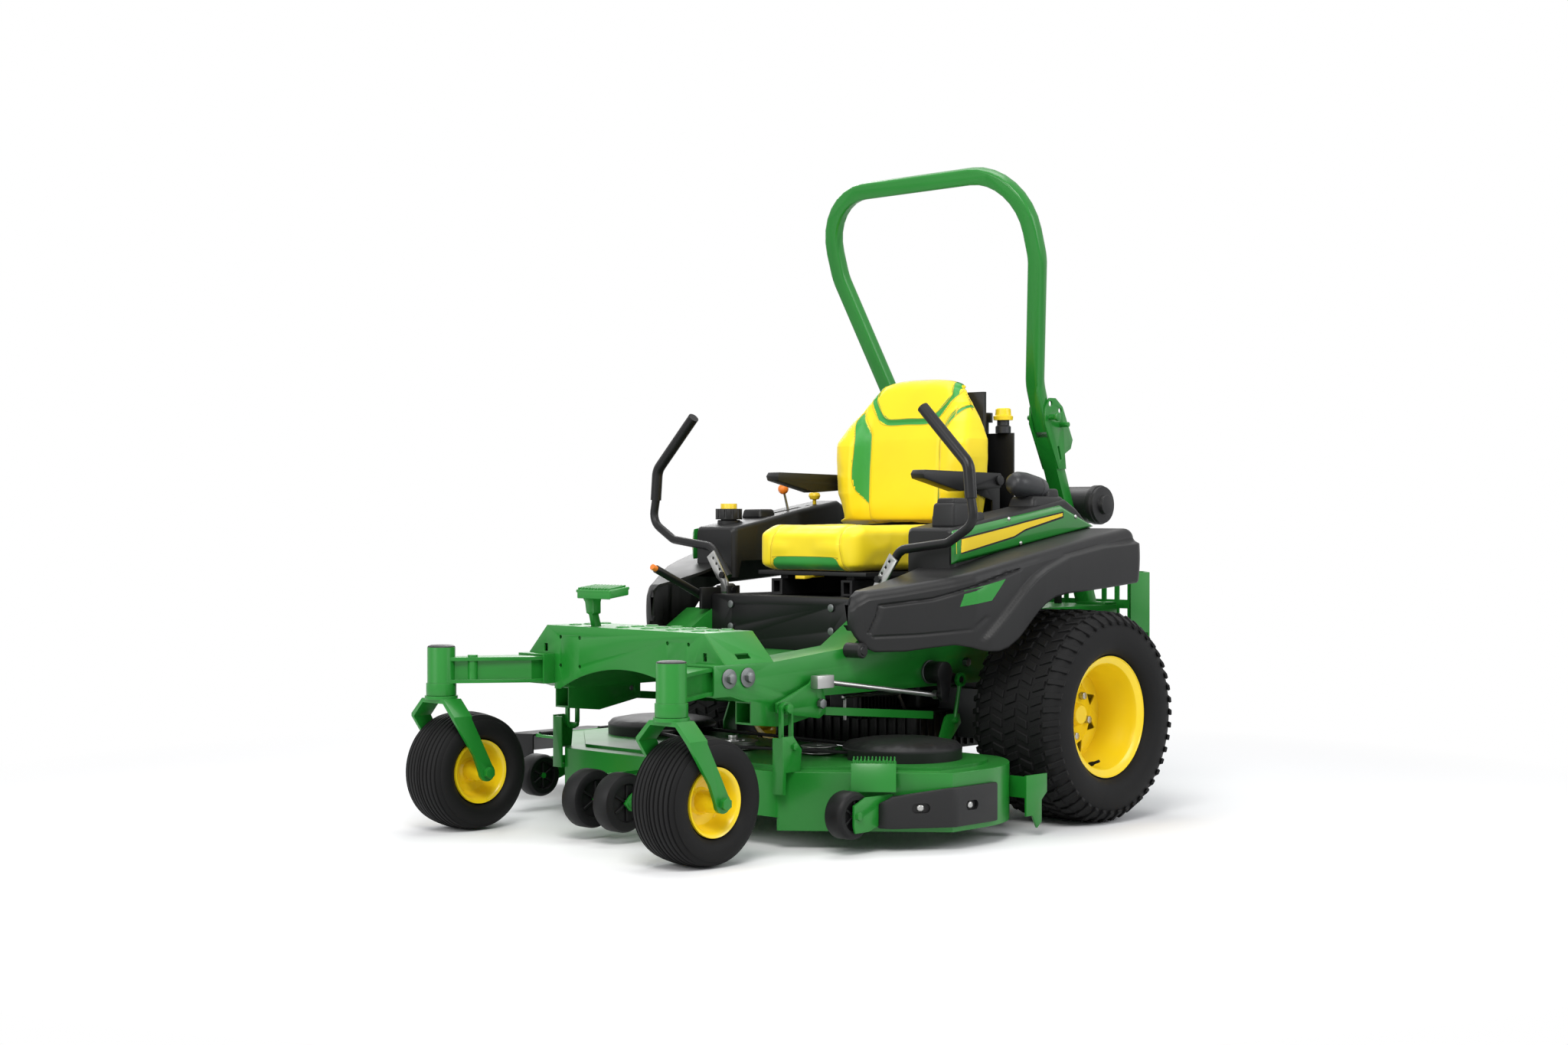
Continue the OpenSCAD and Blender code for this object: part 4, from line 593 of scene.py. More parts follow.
def vinyl_finish(name, colour):
    """Soft embossed vinyl: fine pores over the shared grain, with a faint sheen."""
    made, tree, shader, group = surfaced(name, colour, Drift=0.05, Roughness=0.46, Roughness_Drift=0.06,
                                         Grain_Scale=300, Dust=0.0)
    shader.inputs["Sheen Weight"].default_value = 0.15
    shader.inputs["Sheen Roughness"].default_value = 0.4
    shader.inputs["Specular IOR Level"].default_value = 0.4
    place = node_in(tree, "TexCoord")
    leather = node_in(tree, "TexVoronoi", Scale=620)
    leather.feature = "DISTANCE_TO_EDGE"
    link(tree, place, "Object", leather, "Vector")
    pores = node_in(tree, "Bump", Strength=0.22, Distance=0.0003)
    link(tree, leather, "Distance", pores, "Height")
    soft = node_in(tree, "Bump", Strength=0.1, Distance=0.0004)
    link(tree, group, "Height", soft, "Height")
    link(tree, pores, 0, soft, "Normal")
    link(tree, soft, 0, shader, "Normal")
    return made


yellow_vinyl = vinyl_finish("yellow_vinyl", (0.92, 0.70, 0.010))
green_vinyl = vinyl_finish("green_vinyl", (0.03, 0.30, 0.045))
piping_vinyl = vinyl_finish("piping_vinyl", (0.62, 0.45, 0.01))


def padded(node, name, shrink, cap):
    """The CAD solid's shape, remeshed and blown up by cloth pressure, no point further than cap."""
    source = frame["nodes"][node]
    piece = bpy.data.objects.new(name, source.data.copy())
    scene.collection.objects.link(piece)
    low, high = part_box(node)
    middle = (low + high) / 2
    size = high - low
    for vertex in piece.data.vertices:
        for axis in range(3):
            vertex.co[axis] = middle[axis] + (vertex.co[axis] - middle[axis]) * (1 - 2 * shrink / size[axis])
    alone(piece)
    bpy.ops.object.mode_set(mode="EDIT")
    bpy.ops.mesh.select_all(action="SELECT")
    bpy.ops.mesh.remove_doubles(threshold=weld_gap)
    bpy.ops.object.mode_set(mode="OBJECT")
    grid = piece.modifiers.new("grid", "REMESH")
    grid.mode = "VOXEL"
    grid.voxel_size = 0.006
    bpy.ops.object.modifier_apply(modifier=grid.name)
    start = [v.co.copy() for v in piece.data.vertices]
    cloth = piece.modifiers.new("cover", "CLOTH")
    cloth.settings.use_pressure = True
    cloth.settings.uniform_pressure_force = 4
    cloth.settings.effector_weights.gravity = 0
    cloth.settings.quality = 4
    cloth.point_cache.frame_end = 20
    for step in range(1, 21):
        scene.frame_set(step)
    bpy.ops.object.modifier_apply(modifier=cloth.name)
    scene.frame_set(1)
    for vertex, was in zip(piece.data.vertices, start):
        moved = vertex.co - was
        if moved.length > cap:
            vertex.co = was + moved * (cap / moved.length)
    relax = piece.modifiers.new("relax", "SMOOTH")
    relax.factor = 0.5
    relax.iterations = 22
    bpy.ops.object.modifier_apply(modifier=relax.name)
    fine = piece.modifiers.new("fine", "SUBSURF")
    fine.levels = fine.render_levels = 1
    bpy.ops.object.modifier_apply(modifier=fine.name)
    bpy.ops.object.shade_smooth()
    piece.data.materials.clear()
    piece.data.materials.append(yellow_vinyl)
    piece.data.materials.append(green_vinyl)
    return piece


def interpolate(table, value):
    for (a, u), (b, v) in zip(table, table[1:]):
        if value <= b:
            return u + (v - u) * max(0, (value - a) / (b - a))
    return table[-1][1]


def near_line(x, z, line, width):
    """How close (x, z) is to a polyline, as a weight that falls off over the width."""
    best = 1e9
    for (x0, z0), (x1, z1) in zip(line, line[1:]):
        dx, dz = x1 - x0, z1 - z0
        t = max(0, min(1, ((x - x0) * dx + (z - z0) * dz) / (dx * dx + dz * dz)))
        best = min(best, math.hypot(x - x0 - t * dx, z - z0 - t * dz))
    return math.exp(-((best / width) ** 2))


def inside(x, z, outline):
    hit = False
    for (x0, z0), (x1, z1) in zip(outline, outline[1:] + outline[:1]):
        if (z0 > z) != (z1 > z) and x < (x1 - x0) * (z - z0) / (z1 - z0) + x0:
            hit = not hit
    return hit


def smooth_path(points, steps=8):
    """A smooth line through the points."""
    before, after = [2 * Vector(points[i]) - Vector(points[j]) for i, j in ((0, 1), (-1, -2))]
    full = [before] + [Vector(p) for p in points] + [after]
    path = []
    for a, b, c, d in zip(full, full[1:], full[2:], full[3:]):
        for i in range(steps):
            t = i / steps
            path.append(0.5 * (2 * b + (c - a) * t + (2 * a - 5 * b + 4 * c - d) * t * t
                               + (3 * b - a - 3 * c + d) * t * t * t))
    return path + [Vector(points[-1])]


def tube(name, path, radius, material, sides=2):
    curve = bpy.data.curves.new(name, "CURVE")
    curve.dimensions = "3D"
    curve.bevel_depth = radius
    curve.bevel_resolution = sides
    curve.use_fill_caps = True
    line = curve.splines.new("POLY")
    line.points.add(len(path) - 1)
    for point, co in zip(line.points, path):
        point.co = (*co, 1)
    piece = bpy.data.objects.new(name, curve)
    scene.collection.objects.link(piece)
    alone(piece)
    bpy.ops.object.convert(target="MESH")
    bpy.ops.object.shade_smooth_by_angle(angle=math.radians(60))
    piece.data.materials.clear()
    piece.data.materials.append(material)
    return piece


seat_middle, axle_y = at(0, 0, 0).xy
seam_sink, seam_width = 0.0045, 0.006

back = padded("seat_back", "backrest", 0.010, 0.007)
outline = [(0.84, 0.243), (0.862, 0.250), (0.90, 0.259), (0.95, 0.266), (1.0, 0.270), (1.06, 0.271),
           (1.115, 0.267), (1.15, 0.255), (1.18, 0.240), (1.203, 0.225), (1.222, 0.212), (1.254, 0.196),
           (1.28, 0.180), (1.30, 0.158), (1.314, 0.128), (1.323, 0.088)]
heights = [0.84 + 0.01 * i for i in range(50)]
widest = [max([abs(v.co.x - seat_middle) for v in back.data.vertices if abs(v.co.z - h) < 0.008] or [0.05])
          for h in heights]
reach = [sum(widest[max(0, i - 2):i + 3]) / len(widest[max(0, i - 2):i + 3]) for i in range(len(widest))]
side_seam = [(0.142, 0.85), (0.140, 0.916), (0.142, 1.021), (0.142, 1.132), (0.187, 1.212)]
collar = [(0.0, 1.1715), (0.085, 1.172), (0.116, 1.19), (0.156, 1.252), (0.132, 1.30)]
band = [(0.140, 0.916), (0.172, 0.960), (0.181, 1.010), (0.179, 1.116), (0.200, 1.182), (0.187, 1.208),
        (0.143, 1.132), (0.142, 1.021)]
arc = [(0.186, 1.150), (0.203, 1.188), (0.217, 1.216), (0.212, 1.222), (0.196, 1.205), (0.184, 1.170)]
for vertex in back.data.vertices:
    x, y, z = vertex.co.x - seat_middle, vertex.co.y - axle_y, vertex.co.z
    front = y < interpolate([(0.85, 0.02), (1.1, 0.03), (1.3, 0.08)], z)
    x *= interpolate(outline, z) / interpolate(list(zip(heights, reach)), z)
    if front:
        rise = max(0, min(1, (abs(x) - 0.142) / 0.05))
        bolster = rise * rise * (3 - 2 * rise) * interpolate([(0.85, 0.25), (0.95, 0.9), (1.0, 1), (1.1, 1),
                                                              (1.17, 0.55), (1.21, 0.1), (1.3, 0)], z)
        y += 0.014 - 0.046 * bolster
        for seam in (side_seam, collar):
            y += seam_sink * near_line(abs(x), z, seam, seam_width)
    drop = 0.010 * max(0, (0.93 - z) / 0.07) + 0.024 * max(0, (z - 1.23) / 0.09) * (abs(x) / 0.165) ** 3
    vertex.co = (x + seat_middle, y + axle_y, z - drop)
collar_band = [(x, z - 0.008) for x, z in collar[:2]] + [(0.126, 1.184), (0.174, 1.252), (0.156, 1.303)]
collar_inner = [(0.136, 1.303), (0.152, 1.252), (0.112, 1.202), (0.080, 1.184), (0.0, 1.184)]
collar_area = collar_band + collar_inner
for face in back.data.polygons:
    x, z = abs(face.center.x - seat_middle), face.center.z
    if face.normal.y < 0.2 and (inside(x, z, band) or inside(x, z, collar_area)
                                or (face.center.x > seat_middle and inside(x, z, arc))):
        face.material_index = 1


def sewn(name, piece, lines, radius, material):
    """Lines of (x, z) laid on the piece's front face as fine tubes, joined in one mesh."""
    tree = BVHTree.FromObject(piece, bpy.context.evaluated_depsgraph_get())
    parts = []
    for line in lines:
        path = []
        for point in smooth_path([(x, 0, z) for x, z in line]):
            hit = tree.ray_cast(Vector((point.x + seat_middle, -2, point.z)), Vector((0, 1, 0)))[0]
            if hit:
                path.append(hit)
        parts.append(tube(name, path, radius, material))
    alone(parts[0])
    for part in parts:
        part.select_set(True)
    bpy.ops.object.join()
    joined = bpy.context.object
    joined.name = name
    return joined


def mirrored(lines):
    return lines + [[(-x, z) for x, z in line] for line in lines]


plain_seams = sewn("backrest_seams", back, mirrored([side_seam[:2]]) + mirrored([band[4:] + band[:1]]),
                   0.0012, piping_vinyl)
band_piping = sewn("backrest_piping", back, mirrored([band[:6]])
                   + [[(-x, z) for x, z in reversed(collar_band)] + collar_band]
                   + [[(-x, z) for x, z in collar_inner] + [(x, z) for x, z in reversed(collar_inner[:-1])]]
                   + [arc[:3], arc[2:] + arc[:1]],
                   0.0014, piping_vinyl)
for piece in (back, plain_seams, band_piping):
    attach(piece, "seat")
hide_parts("seat_back")

cushion = padded("seat_cushion", "seat_pad", 0.008, 0.007)
insert = [(0.138, 0.708), (0.136, 0.735), (0.128, 0.752), (0.112, 0.760), (-0.112, 0.760), (-0.128, 0.752),
          (-0.136, 0.735), (-0.138, 0.708)]
front_seam = [(0.152, 0.715), (0.143, 0.77), (0.135, 0.83)]
for vertex in cushion.data.vertices:
    x, y, z = vertex.co.x - seat_middle, vertex.co.y - axle_y, vertex.co.z
    top = max(0, min(1, (z - 0.80) / 0.045))
    rise = math.exp(-(((abs(x) - 0.185) / 0.05) ** 2)) * math.exp(-(((y + 0.20) / 0.13) ** 2))
    dish = math.exp(-((x / 0.12) ** 2)) * math.exp(-(((y + 0.22) / 0.15) ** 2))
    z += top * (0.002 * rise - 0.016 * dish - 0.012 * max(0, -y - 0.40) / 0.06)
    if y < -0.40:
        y += 0.004 * near_line(abs(x), z, front_seam, seam_width)
    if z > 0.80:
        z -= 0.004 * math.exp(-(((abs(x) - 0.137) / 0.006) ** 2))
    vertex.co = (x + seat_middle, y + axle_y, z)
for face in cushion.data.polygons:
    if face.normal.y < -0.3 and inside(face.center.x - seat_middle, face.center.z, insert):
        face.material_index = 1
cushion_piping = sewn("seat_pad_piping", cushion, [insert] + mirrored([front_seam]), 0.0013, piping_vinyl)
for piece in (cushion, cushion_piping):
    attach(piece, "seat")
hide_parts("seat_cushion")

# ---- Fenders ----
# Hollow rotationally moulded shells of black polyethylene, bolted to the rails.
# A raised flare follows each wheel arch and a sunk line frames the front half.


def millimetres(turn, x, y, z):
    return at(turn * x, y, z)


def lofted(name, sections):
    """A closed skin through rings of points, each ring with as many points as the first."""
    rings, around = len(sections), len(sections[0])
    bpy.ops.object.select_all(action="DESELECT")
    bpy.ops.mesh.primitive_grid_add(x_subdivisions=around, y_subdivisions=rings - 1, size=1)
    piece = bpy.context.object
    piece.name = name
    for row, ring in enumerate(sections):
        for column, point in enumerate(ring + [ring[0]]):
            piece.data.vertices[row * (around + 1) + column].co = point
    piece.location = (0, 0, 0)
    bpy.ops.object.mode_set(mode="EDIT")
    bpy.ops.mesh.select_all(action="SELECT")
    bpy.ops.mesh.remove_doubles(threshold=weld_gap)
    bpy.ops.mesh.select_all(action="DESELECT")
    bpy.ops.mesh.select_non_manifold()
    bpy.ops.mesh.fill_holes(sides=0)
    bpy.ops.mesh.select_all(action="SELECT")
    bpy.ops.mesh.normals_make_consistent(inside=False)
    bpy.ops.object.mode_set(mode="OBJECT")
    return piece


def steps_between(low, high, count):
    return [low + (high - low) * i / (count - 1) for i in range(count)]


def eased(value, low, high):
    t = max(0, min(1, (value - low) / (high - low)))
    return t * t * (3 - 2 * t)


fender_inner = 400.6
outer_face = [(-702, 408), (-696, 424), (-684, 438), (-640, 474), (-560, 538), (-480, 600), (-430, 631),
              (-360, 655), (-290, 674), (-215, 685), (-100, 689), (150, 689), (235, 688), (252, 680),
              (262, 666)]
lower_edge = [(-702, 578), (-694, 548), (-680, 521), (-655, 506), (-587, 507), (-530, 517), (-478, 524),
              (-440, 517), (-403, 506), (-370, 505), (-340, 514), (-308, 536), (-261, 583), (-232, 611),
              (-204, 631), (-160, 650), (-109, 659), (-19, 664), (100, 672), (242, 683), (262, 688)]
shoulder = [(-702, 636), (-694, 656), (-670, 674), (-600, 686), (-492, 709), (-390, 736), (-286, 760),
            (-200, 778), (-100, 795), (79, 824), (225, 844), (248, 838), (262, 824)]
arch_line = [(-420, 528), (-411, 540), (-350, 606), (-287, 674), (-240, 712), (-196, 735), (-94, 769),
             (72, 794), (245, 805), (262, 806)]
sunk_line = [(-668, 560), (-652, 605), (-646, 634), (-529, 652), (-370, 706), (-288, 734)]
lower_line = [(-660, 548), (-560, 553), (-440, 566), (-398, 600)]


def flare(y, z):
    """How far the wheel arch flare stands out at a point of the outer face."""
    if y < -420:
        return 0
    return 19 * eased(interpolate(arch_line, y) - z, -4, 8) * eased(y, -424, -396)


def fender_ring(turn, y):
    xo, zl, zt = interpolate(outer_face, y), interpolate(lower_edge, y), interpolate(shoulder, y)
    inner = fender_inner
    radius = min(24, (zt - zl) * 0.3)
    points = [(inner, zt)]
    for x in steps_between(inner + 6, xo - radius, 12):
        points.append((x, zt))
    for i in range(1, 7):
        a = math.radians(90 - 15 * i)
        points.append((xo - radius + radius * math.cos(a), zt - radius + radius * math.sin(a)))
    for z in steps_between(zt - radius - 2, zl + 7, 70):
        crown = 5 * math.sin(math.pi * (z - zl) / (zt - zl))
        sunk = 8 * near_line(y, z, sunk_line, 4.5) + 5 * near_line(y, z, lower_line, 4)
        points.append((xo + crown + flare(y, z) - sunk, z))
    face = xo + flare(y, zl + 4)
    points += [(face - 1, zl + 2), (face - 3.5, zl), (face - 7, zl + 1)]
    hollow = eased(y, -696, -688) * (1 - eased(y, 248, 254))
    ceiling = zl + 2 + (zt - 9 - zl - 2) * hollow
    wall = xo - 9
    points += [(wall, zl + 2 + (ceiling - zl - 2) * 0.02), (wall - 4, ceiling - 4 * hollow),
               (wall - 14, ceiling), (inner, ceiling)]
    return [millimetres(turn, x, y, z) for x, z in points]


def rounded_block(name, low, high, radius, turn=1, taper=1.0, segments=4):
    """A block between two corners in millimetres, with rounded edges and its top drawn in by the taper."""
    a, b = millimetres(turn, *low), millimetres(turn, *high)
    bpy.ops.object.select_all(action="DESELECT")
    bpy.ops.mesh.primitive_cube_add(size=1, location=(a + b) / 2)
    block_piece = bpy.context.object
    block_piece.name = name
    block_piece.scale = [abs(b[i] - a[i]) for i in range(3)]
    bpy.ops.object.transform_apply(location=True, rotation=True, scale=True)
    middle = (a + b) / 2
    for vertex in block_piece.data.vertices:
        if vertex.co.z > middle.z:
            vertex.co.x = middle.x + (vertex.co.x - middle.x) * taper
            vertex.co.y = middle.y + (vertex.co.y - middle.y) * taper
    bevelled(block_piece, radius / 1000, segments)
    return block_piece


def console_top(y):
    return interpolate([(-402, 838), (-395, 846), (130, 930), (180, 905), (249, 852)], y)


console_outer = 524.8


def console_ring(turn, y):
    zt, low = console_top(y), 742 if y > -380 else 690
    end = 10 * (1 - eased(y, -402, -388))
    inner = end + interpolate([(-402, 352), (-300, 356), (-60, fender_inner), (249, fender_inner)], y)
    outer = console_outer - end
    points = [(inner, low), (outer, low)]
    for i in range(7):
        a = math.radians(15 * i)
        points.append((outer - 14 + 14 * math.cos(a), zt - 14 + 14 * math.sin(a)))
    for i in range(7):
        a = math.radians(90 + 15 * i)
        points.append((inner + 14 + 14 * math.cos(a), zt - 14 + 14 * math.sin(a)))
    return [millimetres(turn, x, y, z) for x, z in points]


shell_places = steps_between(-702, -640, 16) + steps_between(-636, 240, 150) + steps_between(243, 262, 9)
console_places = [-402, -399, -395, -388] + steps_between(-380, 130, 40) + steps_between(136, 249, 14)
boss_profile = [(0.0, 0.0085), (0.058, 0.0085), (0.058, 0.0), (0.0605, 0.0), (0.0605, 0.011), (0.0575, 0.013),
                (0.0575, 0.0175), (0.054, 0.021), (0.0, 0.021)]
for side, turn in sides:
    node = "fender_" + side
    shell = lofted("fender_shell_" + side, [fender_ring(turn, y) for y in shell_places])
    mounted(shell, node, black_plastic, 50, stands_in=True)
    console = lofted("console_" + side, [console_ring(turn, y) for y in console_places])
    if side == "right":
        for low, high in (((442, -135, 840), (460, -2, 960)), ((438, 20, 850), (452, 34, 990))):
            gate = rounded_block("gate", low, high, 3, turn)
            cut_away(console, gate)
    mounted(console, node, black_plastic, 40, stands_in=True)
    boss = turned("fender_boss_" + side, boss_profile, origin, 40)
    boss.data.transform(shifted(millimetres(turn, 401, -700, 512))
                        @ Matrix.Diagonal((turn, 1, 1, 1)))
    face_outwards(boss)
    mounted(boss, node, black_plastic)

# Left console: a cup with a raised rim, a ribbed cover and the hydraulic oil canister behind it.
cup = rounded_block("console_cup", (420, -374, 846), (508, -272, 918), 10, taper=0.9)
rim = rounded_block("console_cup_rim", (430, -362, 912), (498, -284, 932), 7, taper=0.92)
step = rounded_block("console_cup_step", (424, -268, 852), (506, -226, 892), 8, taper=0.88)
cover = rounded_block("console_cover", (412, -20, 900), (516, 150, 940), 14, taper=0.86)
ridge = rounded_block("console_cover_ridge", (430, 70, 930), (500, 132, 962), 9, taper=0.9)
for piece in (cup, rim, step, cover, ridge):
    mounted(piece, "fender_left", black_plastic)
grey_plastic = finish("grey_moulded", (0.022, 0.023, 0.025), 0.42, grain=2200, depth=0.0001, strength=0.3,
                      dust=0.02, specular_ior_level=0.35)
can_profile = [(-0.078, 0.0), (-0.078, 0.016), (-0.070, 0.028), (-0.052, 0.036), (-0.02, 0.039),
               (0.030, 0.037), (0.034, 0.033), (0.038, 0.037), (0.060, 0.034), (0.072, 0.026), (0.076, 0.0)]
canister = turned("oil_canister", can_profile, origin, 48)
canister.data.transform(shifted(at(462, 22, 968)) @ about("Z", 90) @ about("Y", 9))
mounted(canister, "fender_left", grey_plastic)
buckle_line = [at(*spot) for spot in ((392, -318, 846), (392, -322, 878), (398, -300, 894), (400, -262, 892),
                                      (396, -240, 872))]
buckle = tube("belt_buckle_loop", smooth_path(buckle_line), 0.006, black_plastic, 3)
mounted(buckle, "fender_left", black_plastic)

# Right console: the filler neck under the cap, and the ignition block.
neck = turned("filler_neck", [(-0.02, 0.0275), (-0.02, 0.036), (0.006, 0.036), (0.0085, 0.034),
                              (0.0085, 0.0275)], origin, 48)
neck.data.transform(shifted(at(-462, -315, console_top(-315))) @ about("Y", -90))
mounted(neck, "fender_right", black_plastic)
dash = rounded_block("ignition_block", (412, -225, 872), (500, -150, 902), 8, -1, 0.86)
mounted(dash, "fender_right", black_plastic)

# ---- Side panels ----
# Glossy green mouldings screwed to the consoles, each with a plain yellow stripe
# edged in black, and a small green plate let into the fender below.

panel_green = finish("green_moulding", (0.010, 0.19, 0.02), 0.22, drift=0.04, coat_weight=0.3,
                     specular_ior_level=0.4)
stripe_yellow = finish("stripe_yellow", (0.86, 0.62, 0.01), 0.35, drift=0.02, grain=400)
for side, turn in sides:
    bpy.ops.object.select_all(action="DESELECT")
    bpy.ops.mesh.primitive_cube_add(size=1)
    panel = bpy.context.object
    panel.name = "side_panel_" + side
    corners = {(0, 0): (-410, 742, 12, 14), (0, 1): (-408, 840, 12, -12), (1, 1): (92, 914, -6, -13),
               (1, 0): (268, 848, -34, 3)}
    for vertex in panel.data.vertices:
        out, back_end, up = (vertex.co.x > 0), int(vertex.co.y > 0), int(vertex.co.z > 0)
        y, z, dy, dz = corners[(back_end, up)]
        vertex.co = millimetres(turn, 542.8 if out else 525.2, y + (dy if out else 0), z + (dz if out else 0))
    face_outwards(panel)
    bevelled(panel, 0.004, 3)
    mounted(panel, "side_panels", panel_green, 25, stands_in=True)


def laid_on(name, target, outline, lift, thick, turn, material, node):
    """A thin plate of the given (y, z) outline pressed onto the outer face of a piece."""
    tree = BVHTree.FromObject(target, bpy.context.evaluated_depsgraph_get())
    count = 26
    half = len(outline) // 2
    upper, lower = outline[:half], outline[half:][::-1]
    rings = []
    for i in range(count):
        t = i / (count - 1)
        a = Vector(along(upper, t))
        b = Vector(along(lower, t))
        hit = []
        for k in range(5):
            y, z = a.lerp(b, k / 4)
            spot = at(0, y, z)
            found = tree.ray_cast(Vector((seat_middle + turn * 1.2, spot.y, spot.z)),
                                  Vector((-turn, 0, 0)))[0]
            hit.append(found.copy() if found else Vector((millimetres(turn, 540, 0, 0).x, spot.y, spot.z)))
        rings.append([p + Vector((turn * lift, 0, 0)) for p in hit]
                     + [p + Vector((turn * (lift - thick), 0, 0)) for p in reversed(hit)])
    piece = lofted(name, rings)
    mounted(piece, node, material)
    return piece


def along(line, t):
    """The point at a share of the way along a polyline."""
    lengths = [math.dist(a, b) for a, b in zip(line, line[1:])]
    left = t * sum(lengths)
    for (a, b), length in zip(zip(line, line[1:]), lengths):
        if left <= length:
            return tuple(a[i] + (b[i] - a[i]) * left / length for i in range(2))
        left -= length
    return line[-1]


stripe = [(-400, 812), (-140, 853), (-96, 861), (86, 889), (86, 880), (-96, 842), (-142, 823), (-400, 774)]
edge_line = [(-403, 817), (-140, 858), (-96, 866), (91, 894), (91, 875), (-94, 837), (-141, 818), (-403, 769)]
screw_head = [(0.0, 0.0), (0.0, 0.0062), (0.0022, 0.0056), (0.0036, 0.0034), (0.0038, 0.0)]
plate = [(-456, 674), (-337, 705), (-383, 646), (-471, 630)]
for side, turn in sides:
    panel = bpy.data.objects["side_panel_" + side]
    laid_on("stripe_edge_" + side, panel, edge_line, 0.0004, 0.001, turn, black_plastic, "side_panels")
    laid_on("stripe_" + side, panel, stripe, 0.0009, 0.001, turn, stripe_yellow, "side_panels")
    shell = bpy.data.objects["fender_shell_" + side]
    laid_on("fender_plate_" + side, shell, plate, 0.0008, 0.0012, turn, panel_green, "fender_" + side)
    for y, z in ((-169, 872), (-114, 802), (150, 878)):
        screw = turned("panel_screw", screw_head, origin, 20)
        screw.data.transform(shifted(millimetres(turn, 542.5, y, z))
                             @ Matrix.Diagonal((turn, 1, 1, 1)))
        face_outwards(screw)
        mounted(screw, "side_panels", zinc)

# ---- Rollers, chute and belt ----
# Gauge wheels and rollers of solid black rubber, the chute of flexible rubber
# on a steel rod, and the reinforced belt round the three spindle pulleys.

soft_rubber = finish("soft_rubber", (0.0055, 0.0055, 0.006), 0.5, grain=1500, depth=0.0001, strength=0.3,
                     dust=0.02, specular_ior_level=0.22)
for node in ["drive_belt", "discharge_chute"]:
    dressed(node, soft_rubber, 0.001)


def gauge_wheel(name, node, x0, x1, turn):
    """A crowned rubber wheel with dished, ribbed faces, between two distances from the middle plane."""
    low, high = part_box(node)
    centre = Vector((seat_middle, (low.y + high.y) / 2, (low.z + high.z) / 2))
    r = (high.z - low.z) / 2
    half = (x1 - x0) / 2
    face = [(half - 0.010, 0.012), (half - 0.010, r * 0.62), (half - 0.001, r * 0.66), (half, r * 0.86),
            (half - 0.004, r * 0.95), (half - 0.012, r)]
    profile = [(-half + 0.010, 0.012)] + [(-x, q) for x, q in face[1:]] + [(0, r)] + face[::-1]
    hub_place = centre + Vector((turn * (x0 + half), 0, 0))
    piece = turned(name, profile, hub_place, 56)
    spoke = block((0.008, 0.006, r * 0.5), 0, 1.0)
    places = []
    for i in range(6):
        for end in (-1, 1):
            places.append(shifted(hub_place + Vector((end * (half - 0.008), 0, 0)))
                          @ Matrix.Rotation(math.tau * i / 6, 4, "X") @ shifted((0, 0, r * 0.36)))
    join_copies(piece, spoke, places)
    bpy.data.objects.remove(spoke)
    mounted(piece, node, soft_rubber, stands_in=True)


side_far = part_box("side_rollers")[1].x - seat_middle
rear_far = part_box("rear_rollers")[1].x - seat_middle
for side, turn in sides:
    gauge_wheel("nose_roller_" + side, "nose_rollers", 0.033, 0.095, turn)
    gauge_wheel("side_roller_" + side, "side_rollers", side_far - 0.060, side_far, turn)
    gauge_wheel("rear_roller_" + side, "rear_rollers", rear_far - 0.064, rear_far, turn)

# ---- Side bumper ----
# A thick moulded guard bolted along the deck's left side, which follows its
# slanted corner. It has two deep oblong pockets for its bolts.

path = [(664, -872), (672, -874), (690, -866), (704, -858), (793, -727), (799, -714), (799.2, -700),
        (799.2, -546), (798, -540)]
rings = []
for index, (x, y) in enumerate(path):
    before, after = path[max(0, index - 1)], path[min(len(path) - 1, index + 1)]
    away = Vector((after[1] - before[1], -(after[0] - before[0]))).normalized()
    top = interpolate([(664, 126), (672, 132), (740, 168), (800, 168)], x)
    ring = []
    for inward, z in ((13.6, 64.3), (5, 64.3), (1.5, 66), (0, 70), (0, top - 6), (1.5, top - 1.5), (5, top),
                      (13.6, top)):
        ring.append(at(x - away.x * inward, y - away.y * inward, z))
    rings.append(ring)
bumper = lofted("bumper", rings)
bolt_head = [(-0.0105, 0.0), (-0.0105, 0.0100), (-0.0065, 0.0100), (-0.0045, 0.0085), (-0.0030, 0.005),
             (-0.0028, 0.0)]
for x, y, nx, ny, z in ((747, -794.6, 0.827, -0.562, 117), (799, -648, 1, 0, 117)):
    bpy.ops.object.select_all(action="DESELECT")
    bpy.ops.mesh.primitive_cylinder_add(vertices=32, radius=0.013, depth=0.018)
    pocket = bpy.context.object
    for vertex in pocket.data.vertices:
        vertex.co.y += math.copysign(0.012, vertex.co.y)
    turned_out = Matrix.Rotation(math.atan2(ny, nx), 4, "Z")
    facing = shifted(at(x, y, z)) @ turned_out @ about("Y", 90)
    pocket.data.transform(facing)
    cut_away(bumper, pocket)
    bolt = turned("bumper_bolt", bolt_head, origin, 24)
    bolt.data.transform(shifted(at(x, y, z)) @ turned_out)
    mounted(bolt, "side_bumper", zinc)
mounted(bumper, "side_bumper", black_plastic, 40, stands_in=True)

# ---- Deck step ----
# The folded step on the deck's left corner has two rows of punched, turned-up
# teeth that grip a boot.

step_corner = shifted(at(600, -905, 0)) @ about("Z", 41) @ shifted(-at(0, 0, 0))
tread = rounded_block("step_tread", (0, 5, 205), (118, 78, 231), 3, segments=3)
tread.data.transform(step_corner)
teeth = [tread]
for row in (5, 68):
    for i in range(12):
        tooth = rounded_block("step_tooth", (3 + 9.8 * i, row, 226), (8.5 + 9.8 * i, row + 8, 243), 2.2,
                              segments=3, taper=0.8)
        tooth.data.transform(step_corner)
        teeth.append(tooth)
alone(teeth[0])
for tooth in teeth:
    tooth.select_set(True)
bpy.ops.object.join()
mounted(teeth[0], "deck_brackets", green_paint)

